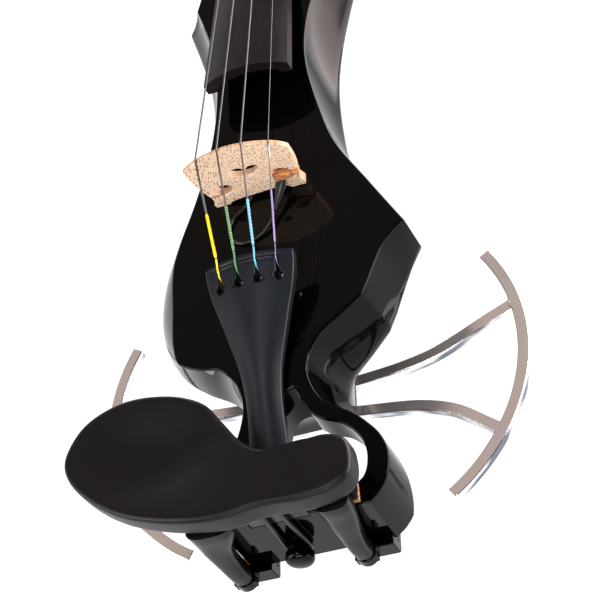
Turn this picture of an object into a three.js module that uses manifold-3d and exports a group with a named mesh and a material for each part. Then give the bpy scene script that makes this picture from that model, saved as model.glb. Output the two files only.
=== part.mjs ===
// Electric violin on an open body, as named pieces in millimetres.
// X runs to the treble side, Y to the scroll and Z out of the top plate.
// The origin lies on the top plate, midway between the bridge feet.
import * as THREE from "three";
import { mergeVertices } from "three/addons/utils/BufferGeometryUtils.js";
import Module from "manifold-3d";

const wasm = await Module();
wasm.setup();

// Body
const BODY_HALF = 66; // centre line to the treble corner
const UPPER = 195; // bridge to the neck root
const LOWER = 158; // bridge to the end face
const DEPTH = 47; // top plate to back
const CREASE_X = 44.5; // where the crease of the tail slope leaves the treble side
const CREASE_Y = -66.4;
const CREASE_RUN = 51.2; // the crease runs to the bass side by this much
const CREASE_DROP = 25.2; // and to the tail by this much
const TAIL_FALL = 0.17; // fall of the tail slope per millimetre
const ROOMY = 400; // side of the blocks that cut planes

// Fits
const FIT = 0.3; // round a part that turns or slides
const SEAT = 0.1; // under a part that rests on another
const RECESS_FIT = 0.25; // round a plate let into the back
const WELD = 0.0001;

// Neck and fingerboard
const BOARD_END_Y = 58.4;
const BOARD_END_Z = 11.9; // lower edge of the board at its end
const NECK_FALL = 0.1353;
const BOARD_LENGTH = 269.3;
const BOARD_HALF_WIDE = 21;
const BOARD_HALF_NARROW = 12;
const BOARD_SIDE = 5.6;
const BOARD_SIDE_NARROW = 5;
const BOARD_ARCH = 42; // radius across the board
const HOLLOW_LENGTH = 79; // scooped underside of the free end
const HOLLOW_HALF = 16.5;
const HOLLOW_RISE = 6.2;
const NECK_DEEP = 16;
const NECK_SLIM = 13;
const NECK_POWER = 0.8; // roundness of the back of the neck
const HEEL_DEEP = 27;
const TENON_HALF = 8;
const TENON_LENGTH = 16;
const TENON_TOP = -11;
const TENON_FLOOR = -26;
const NUT_LENGTH = 4.5;
const NUT_HIGH = 7.0363; // crown over the lower edge of the board
const NUT_SPREAD = 16.5;
const NUT_FALL = 1; // its back edge is lower
const NUT_SET = 0.2; // from its edges to where the string bends
const NUT_DIP = 0.7;

// Pegbox, pegs and scroll
const PEGBOX_LENGTH = 72;
const PEGBOX_HALF = 12.2;
const PEGBOX_TOP_FALL = 0.27;
const PEGBOX_DEEP = 21.5;
const PEGBOX_CHAMFER = 3.5;
const CHEEK = 4.6;
const PEG_RADIUS = 3.7;
const PEG_DEPTH = 9.2; // below the rim of the pegbox
const PEG_FIRST = 17; // behind the nut
const PEG_STEPS = 12.6;
const PEG_COLLAR = 5.2;
const PEG_COLLAR_LENGTH = 5;
const PEG_STEM = 24; // from the cheek to the end of the grip
const PEG_GRIP_HALF = 8;
const PEG_GRIP_THICK = 3.1;
const PEG_GRIP_SHARE = 0.8333; // of the stem
const PEG_TIP = 1; // past the far cheek
const PEG_TAPER = 0.3;
const PEG_WAIST = 2.7;
const PEG_WAIST_LENGTH = 5;
const PEG_ORDER = [0, 2, 3, 1]; // places of the strings' pegs from the nut
const WRAP_X = [-4.6, -1.8, 1.8, 4.6]; // where each string winds on its peg
const WRAP_START = 20; // degrees
const WRAP_TURNS = 1.25;
const WRAP_PITCH = 1.6;
const SCROLL_RADIUS = 14;
const SCROLL_EYE = 5;
const SCROLL_HALF = 9;
const SCROLL_EAR = 15.5;

// Bridge
const BRIDGE_FOOT_HALF = 21.4;
const BRIDGE_TOP_BASS = -25.4;
const BRIDGE_TOP_TREBLE = 24.6;
const BRIDGE_CROWN = 36.3;
const BRIDGE_ARCH = 42;
const BRIDGE_TILT = 0.0406; // the treble side is lower
const BRIDGE_SEAT = 0.3; // gap under the feet, the wedge and the lead
const BRIDGE_THICK = 4.4;
const BRIDGE_EDGE = 1.6;
const BRIDGE_LEAN_FROM = 5.2; // height where it starts to thin
const STRING_SPREAD = 33.9;
const SLOT_ROOM = 0.06;
const SLOT_RISE = 2;

// Strings from bass to treble
const STRING_NAMES = ["g", "d", "a", "e"];
const STRING_RADII = [0.43, 0.4, 0.36, 0.17];
const SILK_WALL = 0.16;
const SILK_GAP = 0.05;
const SILK_FROM = 10; // behind the bridge
const SILK_STOP = 1.5; // before the ridge
const SLEEVE_FROM = 1.1;
const SLEEVE_TAPER_SHARE = 0.6;
const BALL_RADIUS = 1.8;
const SLEEVE_RADIUS = 0.75;
const SLEEVE_LENGTH = 7;

// Tailpiece, gut, saddle and end button
const TAIL_HEAD_Y = -46;
const TAIL_END_GAP = 3.7; // tailpiece to saddle
const TAIL_HEAD_Z = 15.6;
const TAIL_DROP = 20.8;
const TAIL_HALF = 20.4;
const TAIL_THICK = 4.2;
const TAIL_CROWN = 4.6;
const HOLE_Y = -57.5;
const HOLE_SPREAD = 26.6;
const HOLE_RADIUS = 2.1;
const KEY_HALF = 0.65;
const KEY_LENGTH = 8;
const RIDGE_SETBACK = 3;
const RIDGE_LIFT = 0.25;
const RIDGE_RUN = 1; // before the head
const RIDGE_AFTER = 0.4;
const KEY_ROOM = 1.4; // where the string dips into its slot
const KEY_DIP = 0.5;
const BALL_DROP = 3;
const HOLE_REACH = 4; // the strings aim this far before their holes
const GUT_RADIUS = 1.1;
const GUT_SPREAD = 3.9;
const GUT_BORE = 4.4;
const GUT_HOLD = 3.3; // inside its bore
const SADDLE_HALF = 13;
const SADDLE_LONG = 6.3;
const SADDLE_TOP = -4;
const SADDLE_FLOOR = -14;
const BUTTON_Z = -34.6;
const BUTTON_RADIUS = 6.2;
const BUTTON_NECK = 3.4;
const BUTTON_GAP = 3.3;
const BUTTON_HEAD = 6.4;
const BUTTON_SHANK = 14;

// Chinrest
const CHIN_SPAN = 128; // length of the plate
const CHIN_WIDE = 72;
const CHIN_MIDDLE_Y = -133;
const CHIN_UNDER = 4;
const CHIN_FRONT = 11.5; // rim height at the bridge side
const CHIN_BACK = 17.5; // rim height at the tail side
const CHIN_CUP = 7;
const CHIN_RIM = 2.6;
const PAD_HALF = 5.5;
const PAD_LENGTH = 7.6;
const PAD_THICK = 2;
const PAD_BASS_X = -21.5;
const PAD_TREBLE_X = 29.5;
const PAD_Y = -153.6;

// Clamps of the chinrest
const LEG_Y = -163.4;
const LEG_HALF_Y = 4.6;
const LEG_FLOOR = -41.5;
const LEG_BASS_X = -28.7;
const LEG_TREBLE_X = 25.5;
const FOOT_HALF = 4.9;
const FOOT_REACH = 12.6; // from the leg's axis to the far side of the hook
const FOOT_SHOULDER = 4.6; // how far the hook's block stands behind the end face
const FOOT_GAP = 1; // between the leg and the foot
const FOOT_THICK = 5;
const HOOK_THICK = 3.8;
const FOOT_TAIL_Y = -167.9;
const FOOT_FRONT_Y = -149.5;
const FOOT_CORK = 1.6;
const SCREW_RADIUS = 1.8;
const SCREW_HEAD = 3.2;
const SCREW_HEAD_THICK = 2.4;
const SCREW_IN_LEG = 14;
const SCREW_SLOT = 0.9;
const SCREW_END = 1; // room past its tip
const LEG_POWER = 0.75; // squareness of the legs

// Wing bracket
const WING_TOP = -53.3;
const WING_THICK = 4.5;
const WING_ARC_X = 13.1;
const WING_ARC_Y = -68.2;
const WING_ARC = 88.3;
const WING_BAR = 4.2;
const WING_START = 31; // degrees of the upper tip
const WING_END = -54; // degrees of the lower tip
const WING_BASS_TURN = 2.6; // degrees, the bass wing is bolted on a little turned
const HUB_NEAR = 4;
const HUB_FAR = 21.5;
const HUB_FRONT_Y = -68;
const HUB_BACK_Y = -92.5;
const WING_SCREW = 1.5;
const WING_SCREW_HEAD = 2.9;
const WING_SCREW_SINK = 2.2;
const WING_SCREW_DEEP = 9; // into the body
const WING_SCREW_FRONT_Y = -74;
const WING_SCREW_BACK_Y = -86.5;
const WING_SCREW_X = 12.7;
const WING_SCREW_LOW = 0.2; // head under the plate's face
const WING_SOCKET = 1.3;
const WING_SOCKET_DEEP = 1.4;

// Electronics in the back
const CAVITY_HALF = 19;
const CAVITY_FRONT_Y = 11;
const CAVITY_BACK_Y = -42;
const CAVITY_TOP = -17;
const COVER_LIP = 3;
const COVER_SIDE_LIP = 4.4;
const COVER_THICK = 2;
const COVER_SCREW = 1.1;
const COVER_SCREW_HEAD = 1.9;
const COVER_SCREW_SINK = 1.1;
const COVER_SCREW_DEEP = 7;
const COVER_SLOT_HALF = 0.25;
const COVER_SLOT_DEEP = 0.5;
const BOX_LENGTH = 48.5; // battery
const BOX_HALF = 13.2;
const BOX_THICK = 17.4;
const BOX_ROOM = 1;
const BOX_BACK_Y = 17.4;
const DOOR_LIP = 1.2;
const DOOR_THICK = 2;
const THUMB_RADIUS = 6;
const THUMB_SET = 2.5;
const THUMB_DEEP = 0.8;
const BOARD_HALF_X = 16;
const BOARD_FRONT_Y = 6;
const BOARD_BACK_Y = -36;
const BOARD_Z = -25;
const BOARD_THICK = 1.6;
const POT_RADIUS = 7.6;
const POT_FLOOR = -40.6;
const POT_SHAFT = 2.6;
const POST_RADIUS = 2;
const SOCKET_HALF = 8; // socket block on the board
const SOCKET_FROM = 4;
const SOCKET_TO = 12;
const SOCKET_DEEP = 5;
const KNOB_X = 9.6;
const KNOB_Y = -6;
const KNOB_RADIUS = 7;
const KNOB_HEIGHT = 7.4;
const KNOB_LIFT = 0.5;
const KNOB_EDGE = 1;
const KNOB_MARK_HALF = 0.4;
const KNOB_MARK_FROM = 2;
const KNOB_MARK_DEEP = 0.5;
const JACK_Y = -27;
const JACK_Z = -33.5;
const JACK_RADIUS = 4.8;
const JACK_BORE = 3.2;
const JACK_FLANGE = 7.6;
const JACK_FACE_SHARE = 0.5985; // of the body's half width
const JACK_FLANGE_THICK = 2.2;
const JACK_INNER = 17;
const JACK_NOSE = 1.4;
const JACK_STOP = 3;
const JACK_SPOT = 9.4;
const LEAD_HOLE_X = -5;
const LEAD_HOLE_Y = 8.6;
const LEAD_RADIUS = 1.05;
const LEAD_ROOM = 0.7;
const LEAD_TAIL = 3; // inside the cavity
const WIRE_BEND = 3;
const WIRE_RADIUS = 0.9;
const WEDGE_THICK = 3;
const SLEEVE_LEAD_RADIUS = 1.9;

// Samples
const ROUND = 16;
const SMALL_ROUND = 8;
const CORD_SIDES = 8;
const HALF_TURN = Math.PI;
const FULL_TURN = HALF_TURN + HALF_TURN;
const DEGREE = HALF_TURN / 180;
const ARC_STEPS = 12;
const HOLLOW_STEPS = 10;
const NECK_STEPS = 14;
const BRIDGE_STEPS = 18;
const HEART_STEPS = 40;
const LEAD_STEPS = 30;
const TAIL_STEPS = 10;
const WRAP_STEPS = 14;
const CHIN_STEPS = 72;
const WING_STEPS = 26;
const STRUT_STEPS = 12;
const WIRE_STEPS = 20;
const FRAME_STEPS = 40;
const FRAME_BASS_STEPS = 28;
const OPENING_STEPS = 56;
const VAULT_STEPS = 24;
const FINE_ROUND = 24;
const SCROLL_ROUND = 28;
const HEXAGON = 6;
const GRIP_SIDES = 12;
const GRIP_ROWS = 8;
const BALL_ROWS = 6;

// Outlines of the body as shares of its half width, its reach and its depth.
// The three tables hold the same segments in the same order.
const TOP_SHARES = [
  [[0.258, 1], [0.333, 0.872], [0.5, 0.651]],
  [[0.5, 0.651], [0.403, 0.569], [0.35, 0.462], [0.355, 0.369], [0.448, 0.21], [0.541, 0.105],
    [0.765, -0.044], [0.989, -0.211]],
  [[0.989, -0.211], [0.906, -0.241], [0.829, -0.283], [0.762, -0.342], [0.709, -0.394], [0.671, -0.423]],
  [[0.671, -0.423], [0.526, -0.466], [0.4, -0.501], [0.311, -0.544], [0.25, -0.595]],
  [[0.25, -0.595], [-0.197, -0.614]],
  [[-0.197, -0.614], [-0.242, -0.585], [-0.332, -0.551], [-0.482, -0.534], [-0.606, -0.501],
    [-0.645, -0.443], [-0.652, -0.316], [-0.655, -0.171], [-0.614, -0.095], [-0.494, 0.043],
    [-0.389, 0.177], [-0.342, 0.308], [-0.35, 0.462], [-0.417, 0.559], [-0.5, 0.651]],
  [[-0.5, 0.651], [-0.333, 0.872], [-0.258, 1]],
];
const FLARE_SHARES = [
  [[0.273, 1, -0.319], [0.424, 0.872, -0.362], [0.682, 0.667, -0.383]],
  [[0.682, 0.667, -0.383], [0.598, 0.569, -0.404], [0.523, 0.462, -0.426], [0.491, 0.359, -0.426],
    [0.508, 0.215, -0.426], [0.561, 0.103, -0.426], [0.773, -0.044, -0.447], [1, -0.215, -0.468]],
  [[1, -0.215, -0.468], [0.933, -0.261, -0.489], [0.883, -0.301, -0.511], [0.838, -0.341, -0.532],
    [0.785, -0.392, -0.553], [0.741, -0.441, -0.574]],
  [[0.741, -0.441, -0.574], [0.583, -0.494, -0.638], [0.45, -0.534, -0.681], [0.411, -0.563, -0.681],
    [0.386, -0.614, -0.66]],
  [[0.386, -0.614, -0.66], [-0.273, -0.614, -0.66]],
  [[-0.273, -0.614, -0.66], [-0.318, -0.582, -0.66], [-0.409, -0.544, -0.638], [-0.583, -0.503, -0.574],
    [-0.72, -0.456, -0.511], [-0.803, -0.392, -0.447], [-0.864, -0.297, -0.426], [-0.867, -0.196, -0.426],
    [-0.823, -0.092, -0.426], [-0.659, 0.041, -0.426], [-0.538, 0.177, -0.426], [-0.491, 0.308, -0.426],
    [-0.523, 0.462, -0.426], [-0.598, 0.569, -0.404], [-0.682, 0.667, -0.383]],
  [[-0.682, 0.667, -0.383], [-0.424, 0.872, -0.362], [-0.273, 1, -0.319]],
];
const BACK_SHARES = [
  [[0.167, 1, -0.702], [0.212, 0.872, -0.766], [0.303, 0.656, -0.872]],
  [[0.303, 0.656, -0.872], [0.273, 0.569, -0.957], [0.265, 0.472, -1], [0.265, 0.359, -1],
    [0.288, 0.21, -1], [0.364, 0.103, -1], [0.485, -0.044, -1], [0.606, -0.203, -1]],
  [[0.606, -0.203, -1], [0.576, -0.241, -1], [0.553, -0.278, -1], [0.523, -0.316, -1], [0.492, -0.354, -1],
    [0.462, -0.386, -1]],
  [[0.462, -0.386, -1], [0.402, -0.43, -1], [0.364, -0.468, -1], [0.348, -0.506, -1], [0.348, -0.595, -1]],
  [[0.348, -0.595, -1], [-0.348, -0.595, -1]],
  [[-0.348, -0.595, -1], [-0.348, -0.532, -1], [-0.356, -0.487, -1], [-0.394, -0.449, -1],
    [-0.439, -0.405, -1], [-0.477, -0.348, -1], [-0.492, -0.272, -1], [-0.485, -0.184, -1],
    [-0.455, -0.095, -1], [-0.371, 0.041, -1], [-0.288, 0.177, -1], [-0.265, 0.308, -1],
    [-0.265, 0.472, -1], [-0.273, 0.569, -0.957], [-0.303, 0.656, -0.872]],
  [[-0.303, 0.656, -0.872], [-0.212, 0.872, -0.766], [-0.167, 1, -0.702]],
];
const SEGMENT_SAMPLES = [6, 21, 10, 8, 1, 42, 6];
// How far each segment bows out between top and flare, at its start and its end
const BOW_SHARES = [[0, -0.1], [-0.16, -0.1], [-0.04, 0], [0, 0.1], [0, 0], [0.1, -0.16], [-0.1, 0]];
const BASS_BOW_SHARE = 0.2;
const RING_SHARES = [0, 0.2, 0.4, 0.6, 0.8];
const UNDER_RING_SHARES = [0, 0.35, 0.7];
const UNDER_BOW_SHARE = 0.1;

// Open tail frame seen from above, as shares of half width and lower reach
const FRAME_SHARES = [
  [0.273, -0.506], [0.295, -0.554], [0.27, -0.608], [0.295, -0.655], [0.356, -0.699], [0.439, -0.725],
  [0.53, -0.747], [0.621, -0.782], [0.697, -0.823], [0.736, -0.877], [0.712, -0.937], [0.648, -0.978],
  [0.583, -1],
];
const FRAME_BASS_SHARES = [
  [-0.394, -1], [-0.447, -0.981], [-0.455, -0.937], [-0.394, -0.873], [-0.28, -0.804], [-0.205, -0.741],
  [-0.171, -0.677], [-0.197, -0.614], [-0.273, -0.557],
];
const OPENING_SHARES = [
  [0.185, -0.652], [0.22, -0.693], [0.265, -0.728], [0.342, -0.754], [0.459, -0.775], [0.533, -0.801],
  [0.586, -0.838], [0.598, -0.878], [0.565, -0.924], [0.485, -0.946], [0.333, -0.946], [0.182, -0.93],
  [0.091, -0.886], [0.061, -0.823], [0.055, -0.741], [0.085, -0.684], [0.136, -0.658],
];
// Arch under the tail frame, as shares of lower reach and depth
const ARCH_SHARES = [
  [-0.62, -1.011], [-0.63, -0.766], [-0.658, -0.553], [-0.709, -0.457], [-0.766, -0.447], [-0.81, -0.543],
  [-0.861, -0.702], [-0.911, -0.872], [-0.956, -1.011],
];

// Plate of the chinrest, as shares of its span and its width from its middle line
const CHIN_SHARES = [
  [0.326, -0.236], [0.306, -0.139], [0.25, -0.088], [0.125, -0.094], [0.034, -0.09], [-0.045, 0.007],
  [-0.124, 0.194], [-0.191, 0.347], [-0.318, 0.458], [-0.486, 0.479], [-0.617, 0.368], [-0.677, 0.16],
  [-0.663, 0.028], [-0.588, -0.146], [-0.452, -0.325], [-0.245, -0.458], [-0.102, -0.49], [0.027, -0.465],
  [0.172, -0.479], [0.268, -0.451], [0.32, -0.382],
];
const CHIN_HUB_SHARE = [-0.195, -0.208];
const CHIN_CUP_SHARE = [-0.33, 0.07, 0.2, 0.3]; // place and reach of the cup

// Neck stations: place along the neck and share of the depth there
const HEEL_SHARES = [[0, 1], [0.05, 0.963], [0.1, 0.8148]];
const NECK_SHARES = [[0.16, 1.125], [0.24, 1]];
const NECK_MIDDLE_SHARE = 0.6;
const SLIM_SHARES = [[0.92, 1], [1, 1.0769]];
// Pegbox stations: place along it, share of its half width and of its depth
const PEGBOX_SHARES = [
  [-0.05, 1, 0.6512], [0.06, 1.01, 0.8651], [0.25, 0.99, 1], [0.5, 0.94, 1], [0.78, 0.87, 0.9535], [1, 0.82, 0.8837],
];
const SCROLL_SET_SHARE = [0.55, 0.62]; // centre of the scroll behind and below the pegbox's end, of its radius
const SCROLL_TURN_SHARE = 0.72;

// Bridge points as shares of its foot's half width and of its crown
const BRIDGE_ARCH_SHARES = [
  [-0.6822, 0], [-0.6355, 0.0606], [-0.4907, 0.1074], [0, 0.1267], [0.4907, 0.1074], [0.6355, 0.0606],
  [0.6822, 0],
];
const BRIDGE_TREBLE_SHARES = [[1.0234, 0.0661], [0.972, 0.1212], [1.0374, 0.3857]];
const BRIDGE_BASS_SHARES = [[-1.0561, 0.3857], [-0.972, 0.1212], [-1.0234, 0.0661]];
const EYE_BASS_SHARE = [-0.6355, 0.292, 0.2009, 0.0826];
const EYE_TREBLE_SHARE = [0.6636, 0.3196, 0.1963, 0.0826];
const SLIT_BASS_SHARES = [[-0.5981, 0.2039], [-0.6542, 0.2314], [-1.0935, 0.1956], [-1.0935, 0.1736]];
const SLIT_TREBLE_SHARES = [
  [0.4626, 0.2975], [0.4626, 0.157], [0.514, 0.1543], [1.0935, 0.2342], [1.0935, 0.281], [0.6542, 0.3306],
];
const WEDGE_SHARES = [[0.4953, 0.168], [1.0327, 0.2424], [1.0327, 0.2727], [0.4953, 0.2893]];
const HEART_SHARES = [
  [-0.014, 0.4408], [0.1402, 0.4518], [0.2991, 0.5124], [0.3084, 0.562], [0.215, 0.5895],
  [0.0935, 0.5785], [0.0187, 0.5399], [-0.014, 0.562], [-0.0748, 0.595], [-0.2056, 0.6061],
  [-0.3271, 0.5785], [-0.3364, 0.5234], [-0.2056, 0.4628],
];
// Sleeve and lead of the pickup as shares of the bridge's half width, the lead's height over the plate
const SLEEVE_SHARES = [
  [0.5421, -0.0561, 0.2991], [0.514, -0.1589, 0.271], [0.4299, -0.3738, 0.2056],
  [0.3364, -0.6075, 0.1589],
];
const SLEEVE_SIZE_SHARES = [0.8, 0.95, 0.9, 0.72];
const LEAD_SHARES = [
  [0.3224, -0.6449, 0.0935], [0.243, -0.8224, 0.0794], [-0.0187, -1.0561, 0], [-0.3364, -1.1589, 0],
  [-0.5981, -1.0467, 0], [-0.7196, -0.7664, 0], [-0.6355, -0.4673, 0], [-0.4019, -0.2617, 0],
  [-0.2617, -0.0748, 0], [-0.229, 0.1402, 0], [-0.229, 0.2991, 0.007],
];

// Tailpiece: place along it, share of its half width; place, share of its drop
const TAIL_WIDTH_SHARES = [
  [0, 1], [0.06, 0.985], [0.147, 0.907], [0.25, 0.76], [0.343, 0.637], [0.42, 0.53], [0.5, 0.446],
  [0.62, 0.392], [0.784, 0.412], [0.95, 0.46], [1, 0.4],
];
const TAIL_DROP_SHARES = [[0, 0], [0.628, 0.712], [0.784, 0.862], [1, 1]];
const TAIL_THIN_SHARE = 0.5; // how much thinner it gets
const TAIL_THIN_RATE = 1.3;
const TAIL_FLAT_SHARE = 0.55; // arch left at its end
const TAIL_HOLLOW_SHARE = 0.8;
// Saddle and gut: place along and depth or height, as shares of the saddle's length
const SADDLE_SHARES = [[1, 0.381], [0.619, 0.0794], [0.381, 0], [0.127, 0.0635], [0, 0.2222]];
const GUT_SHARES = [[0.7619, -0.0238], [0.381, 0.0079], [-0.0635, -0.0794], [-0.2302, -0.3492], [-0.2619, -0.7302]];
// Button: shares of its radius and of its head's length
const BUTTON_SHARES = [[0.82, 0], [1, 0.1875], [1, 0.625], [0.8, 0.875], [0.45, 1], [0, 1.0313]];
// Rim of the chinrest: inset, least height over the underside and depth below the top, of the rim's size
const CHIN_LOWER_SHARES = [[1, 0], [0.35, 0.3846], [0, 1.1538]];
const CHIN_UPPER_SHARES = [[0, 1.5385, 0.7692], [0.4, 1.7308, 0.1923], [1, 0, 0]];
const CHIN_FIELD_SHARES = [[0.8, 0.1538], [0.6, 0], [0.4, 0], [0.2, 0], [0.05, 0]]; // toward the hub
// Clamp legs: height, then middle and half width of the plate's span, then thickness
const LEG_BASS_SHARES = [
  [0, -0.1875, 0.0781, 1.1], [-0.1, -0.1891, 0.075, 1.1], [-0.24, -0.2, 0.0641, 1],
  [-0.4, -0.2156, 0.05, 0.95], [-0.6, -0.2227, 0.0391, 0.95], [-0.85, -0.2242, 0.0336, 1],
  [-1, -0.2242, 0.032, 0.95],
];
const LEG_TREBLE_SHARES = [
  [0, 0.2234, 0.0563, 1.1], [-0.1, 0.2234, 0.0547, 1.1], [-0.24, 0.2203, 0.0516, 1],
  [-0.4, 0.2141, 0.0469, 0.98], [-0.6, 0.2062, 0.0391, 0.95], [-0.85, 0.1992, 0.0328, 1],
  [-1, 0.1992, 0.0312, 0.95],
];
// Struts of the wings as shares of the arc's radius, the harness of the cavity's half width
const STRUT_UPPER_SHARES = [
  [1.1031, -0.5821], [0.9513, -0.6433], [0.7928, -0.7157], [0.641, -0.7724], [0.453, -0.8063],
  [0.2265, -0.8245],
];
const STRUT_LOWER_SHARES = [
  [0.9796, -1.3024], [0.872, -1.2118], [0.7542, -1.1246], [0.6342, -1.0713], [0.5119, -1.0396],
  [0.2265, -0.9989],
];
const WIRE_SHARES = [
  [-0.5263, -1.3684, -1.8947], [0, -1.0526, -2], [0, -0.5263, -2.1053], [0, 0.1579, -2.0737],
  [0, 0.6316, -2], [0, 0.8316, -2],
];

const finishes = {
  lacquer: [0x08080a, 0.06, 0],
  ebony: [0x17110f, 0.55, 0],
  maple: [0xd9b98a, 0.5, 0],
  plastic: [0x101012, 0.45, 0],
  cork: [0x9a6a3c, 0.95, 0],
  steel: [0xb9bcc0, 0.3, 1],
  alloy: [0xc9ccd0, 0.35, 1],
  bone: [0xe9e2cf, 0.4, 0],
  wedge: [0xa8622c, 0.7, 0],
  clear: [0xe8edf2, 0.15, 0],
  circuit: [0x1d5a35, 0.6, 0],
  cell: [0x2a2b30, 0.5, 0],
  silkG: [0xd8c23a, 0.8, 0],
  silkD: [0x4d7d49, 0.8, 0],
  silkA: [0x9fc4dc, 0.8, 0],
  silkE: [0x9a7fae, 0.8, 0],
};

const group = new THREE.Group();
group.name = "electric_violin";

// Reads a closed surface as a solid that faces out.
function solid(geometry) {
  const bare = geometry.clone();
  bare.deleteAttribute("normal");
  bare.deleteAttribute("uv");
  const merged = mergeVertices(bare, WELD);
  const spots = merged.attributes.position.array;
  const corners = new Uint32Array(merged.index.array);
  const make = () => new wasm.Manifold(
    new wasm.Mesh({ numProp: merged.attributes.position.itemSize, vertProperties: spots, triVerts: corners }),
  );
  const first = make();
  if (first.volume() >= 0) return first;
  corners.reverse();
  return make();
}

// Turns a solid into a mesh of the group.
function add(name, shape, finish) {
  const data = shape.getMesh();
  const geometry = new THREE.BufferGeometry();
  geometry.setAttribute("position", new THREE.BufferAttribute(data.vertProperties, data.numProp));
  geometry.setIndex(new THREE.BufferAttribute(data.triVerts, 1));
  geometry.computeVertexNormals();
  const [color, roughness, metalness] = finishes[finish];
  const material = new THREE.MeshStandardMaterial({ color, roughness, metalness });
  material.name = finish;
  const mesh = new THREE.Mesh(geometry, material);
  mesh.name = name;
  group.add(mesh);
  return mesh;
}

// Joins rings of equal length into a closed body. Caps are cut in the plane that flat() gives.
function loft(rings, flat = (p) => new THREE.Vector2(p.x, p.y)) {
  const count = rings[0].length;
  const spots = rings.flat().flatMap((p) => [p.x, p.y, p.z]);
  const faces = [];
  for (let r = 0; r + 1 < rings.length; r++)
    for (let i = 0; i < count; i++) {
      const a = r * count + i;
      const b = r * count + ((i + 1) % count);
      faces.push(a, b, b + count);
      faces.push(a, b + count, a + count);
    }
  const last = rings.length - 1;
  const turned = THREE.ShapeUtils.isClockWise(rings[0].map(flat));
  const cap = (ring, base, flip) => {
    const plan = ring.map(flat);
    const found = THREE.ShapeUtils.triangulateShape(plan, []);
    const area = found.reduce((sum, face) => sum + THREE.ShapeUtils.area(face.map((i) => plan[i])), 0);
    for (const face of found) {
      const ids = face.map((i) => base + i);
      if (area < 0 !== flip) ids.reverse();
      faces.push(...ids);
    }
  };
  cap(rings[0], 0, !turned);
  cap(rings[last], last * count, turned);
  const geometry = new THREE.BufferGeometry();
  geometry.setAttribute("position", new THREE.Float32BufferAttribute(spots, 3));
  geometry.setIndex(faces);
  return solid(geometry);
}

// Prism of a plan outline between two heights.
function prism(points, low, high) {
  const shape = new THREE.Shape(points.map(([x, y]) => new THREE.Vector2(x, y)));
  const body = new THREE.ExtrudeGeometry(shape, { depth: high - low, bevelEnabled: false });
  body.translate(0, 0, low);
  return solid(body);
}

// Prism of an outline given in y and z, between two values of x.
function crossPrism(points, from, to) {
  const rings = [from, to].map((x) => points.map(([y, z]) => new THREE.Vector3(x, y, z)));
  return loft(rings, (p) => new THREE.Vector2(p.y, p.z));
}

function box(x0, x1, y0, y1, z0, z1) {
  const body = new THREE.BoxGeometry(x1 - x0, y1 - y0, z1 - z0);
  body.translate((x0 + x1) / 2, (y0 + y1) / 2, (z0 + z1) / 2);
  return solid(body);
}

// Turned body: the profile holds radius and height, the axis points along direction.
function turned(profile, at, direction, sides = ROUND) {
  const points = profile.map(([r, h]) => new THREE.Vector2(r, h));
  const body = new THREE.LatheGeometry(points, sides);
  const spin = new THREE.Quaternion().setFromUnitVectors(new THREE.Vector3(0, 1, 0), direction);
  body.applyQuaternion(spin);
  body.translate(at.x, at.y, at.z);
  return solid(body);
}

function rod(radius, from, to, sides = ROUND) {
  const way = new THREE.Vector3().subVectors(to, from);
  const length = way.length();
  return turned([[0, 0], [radius, 0], [radius, length], [0, length]], from, way.normalize(), sides);
}

// Cord through points, with a ring of sides at each one. The radius may change along it.
function cord(points, radius, sides = CORD_SIDES) {
  const path = points.map((p) => new THREE.Vector3(...p));
  const size = (i) => (typeof radius === "number" ? radius : radius[i]);
  let side = new THREE.Vector3(1, 0, 0);
  const rings = path.map((p, i) => {
    const before = path[Math.max(i - 1, 0)];
    const after = path[Math.min(i + 1, path.length - 1)];
    const into = new THREE.Vector3().subVectors(p, before);
    const out = new THREE.Vector3().subVectors(after, p);
    if (into.lengthSq() > 0) into.normalize();
    if (out.lengthSq() > 0) out.normalize();
    const way = into.clone().add(out).normalize();
    side = side.clone().addScaledVector(way, -side.dot(way)).normalize();
    const up = new THREE.Vector3().crossVectors(way, side);
    return Array.from({ length: sides }, (_, k) => {
      const angle = (k * FULL_TURN) / sides;
      const across = p.clone().addScaledVector(side, Math.cos(angle) * size(i));
      return across.addScaledVector(up, Math.sin(angle) * size(i));
    });
  });
  return fanLoft(rings, path);
}

// Closed body from round rings, with a fan of faces on each end.
function fanLoft(rings, path) {
  const count = rings[0].length;
  const spots = rings.flat().flatMap((p) => [p.x, p.y, p.z]);
  const head = spots.length / 3;
  spots.push(path[0].x, path[0].y, path[0].z);
  const tail = path[path.length - 1];
  spots.push(tail.x, tail.y, tail.z);
  const faces = [];
  for (let r = 0; r + 1 < rings.length; r++)
    for (let i = 0; i < count; i++) {
      const a = r * count + i;
      const b = r * count + ((i + 1) % count);
      faces.push(a, b, b + count);
      faces.push(a, b + count, a + count);
    }
  const last = (rings.length - 1) * count;
  for (let i = 0; i < count; i++) {
    const j = (i + 1) % count;
    faces.push(head, j, i);
    faces.push(head + 1, last + i, last + j);
  }
  const geometry = new THREE.BufferGeometry();
  geometry.setAttribute("position", new THREE.Float32BufferAttribute(spots, 3));
  geometry.setIndex(faces);
  return solid(geometry);
}

// Smooth closed or open curve through plan points.
function smooth(points, count, closed) {
  const curve = new THREE.CatmullRomCurve3(points.map(([x, y, z = 0]) => new THREE.Vector3(x, y, z)), closed,
    "centripetal");
  const drawn = curve.getPoints(count);
  if (closed) drawn.pop();
  return drawn.map((p) => [p.x, p.y, p.z]);
}

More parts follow.
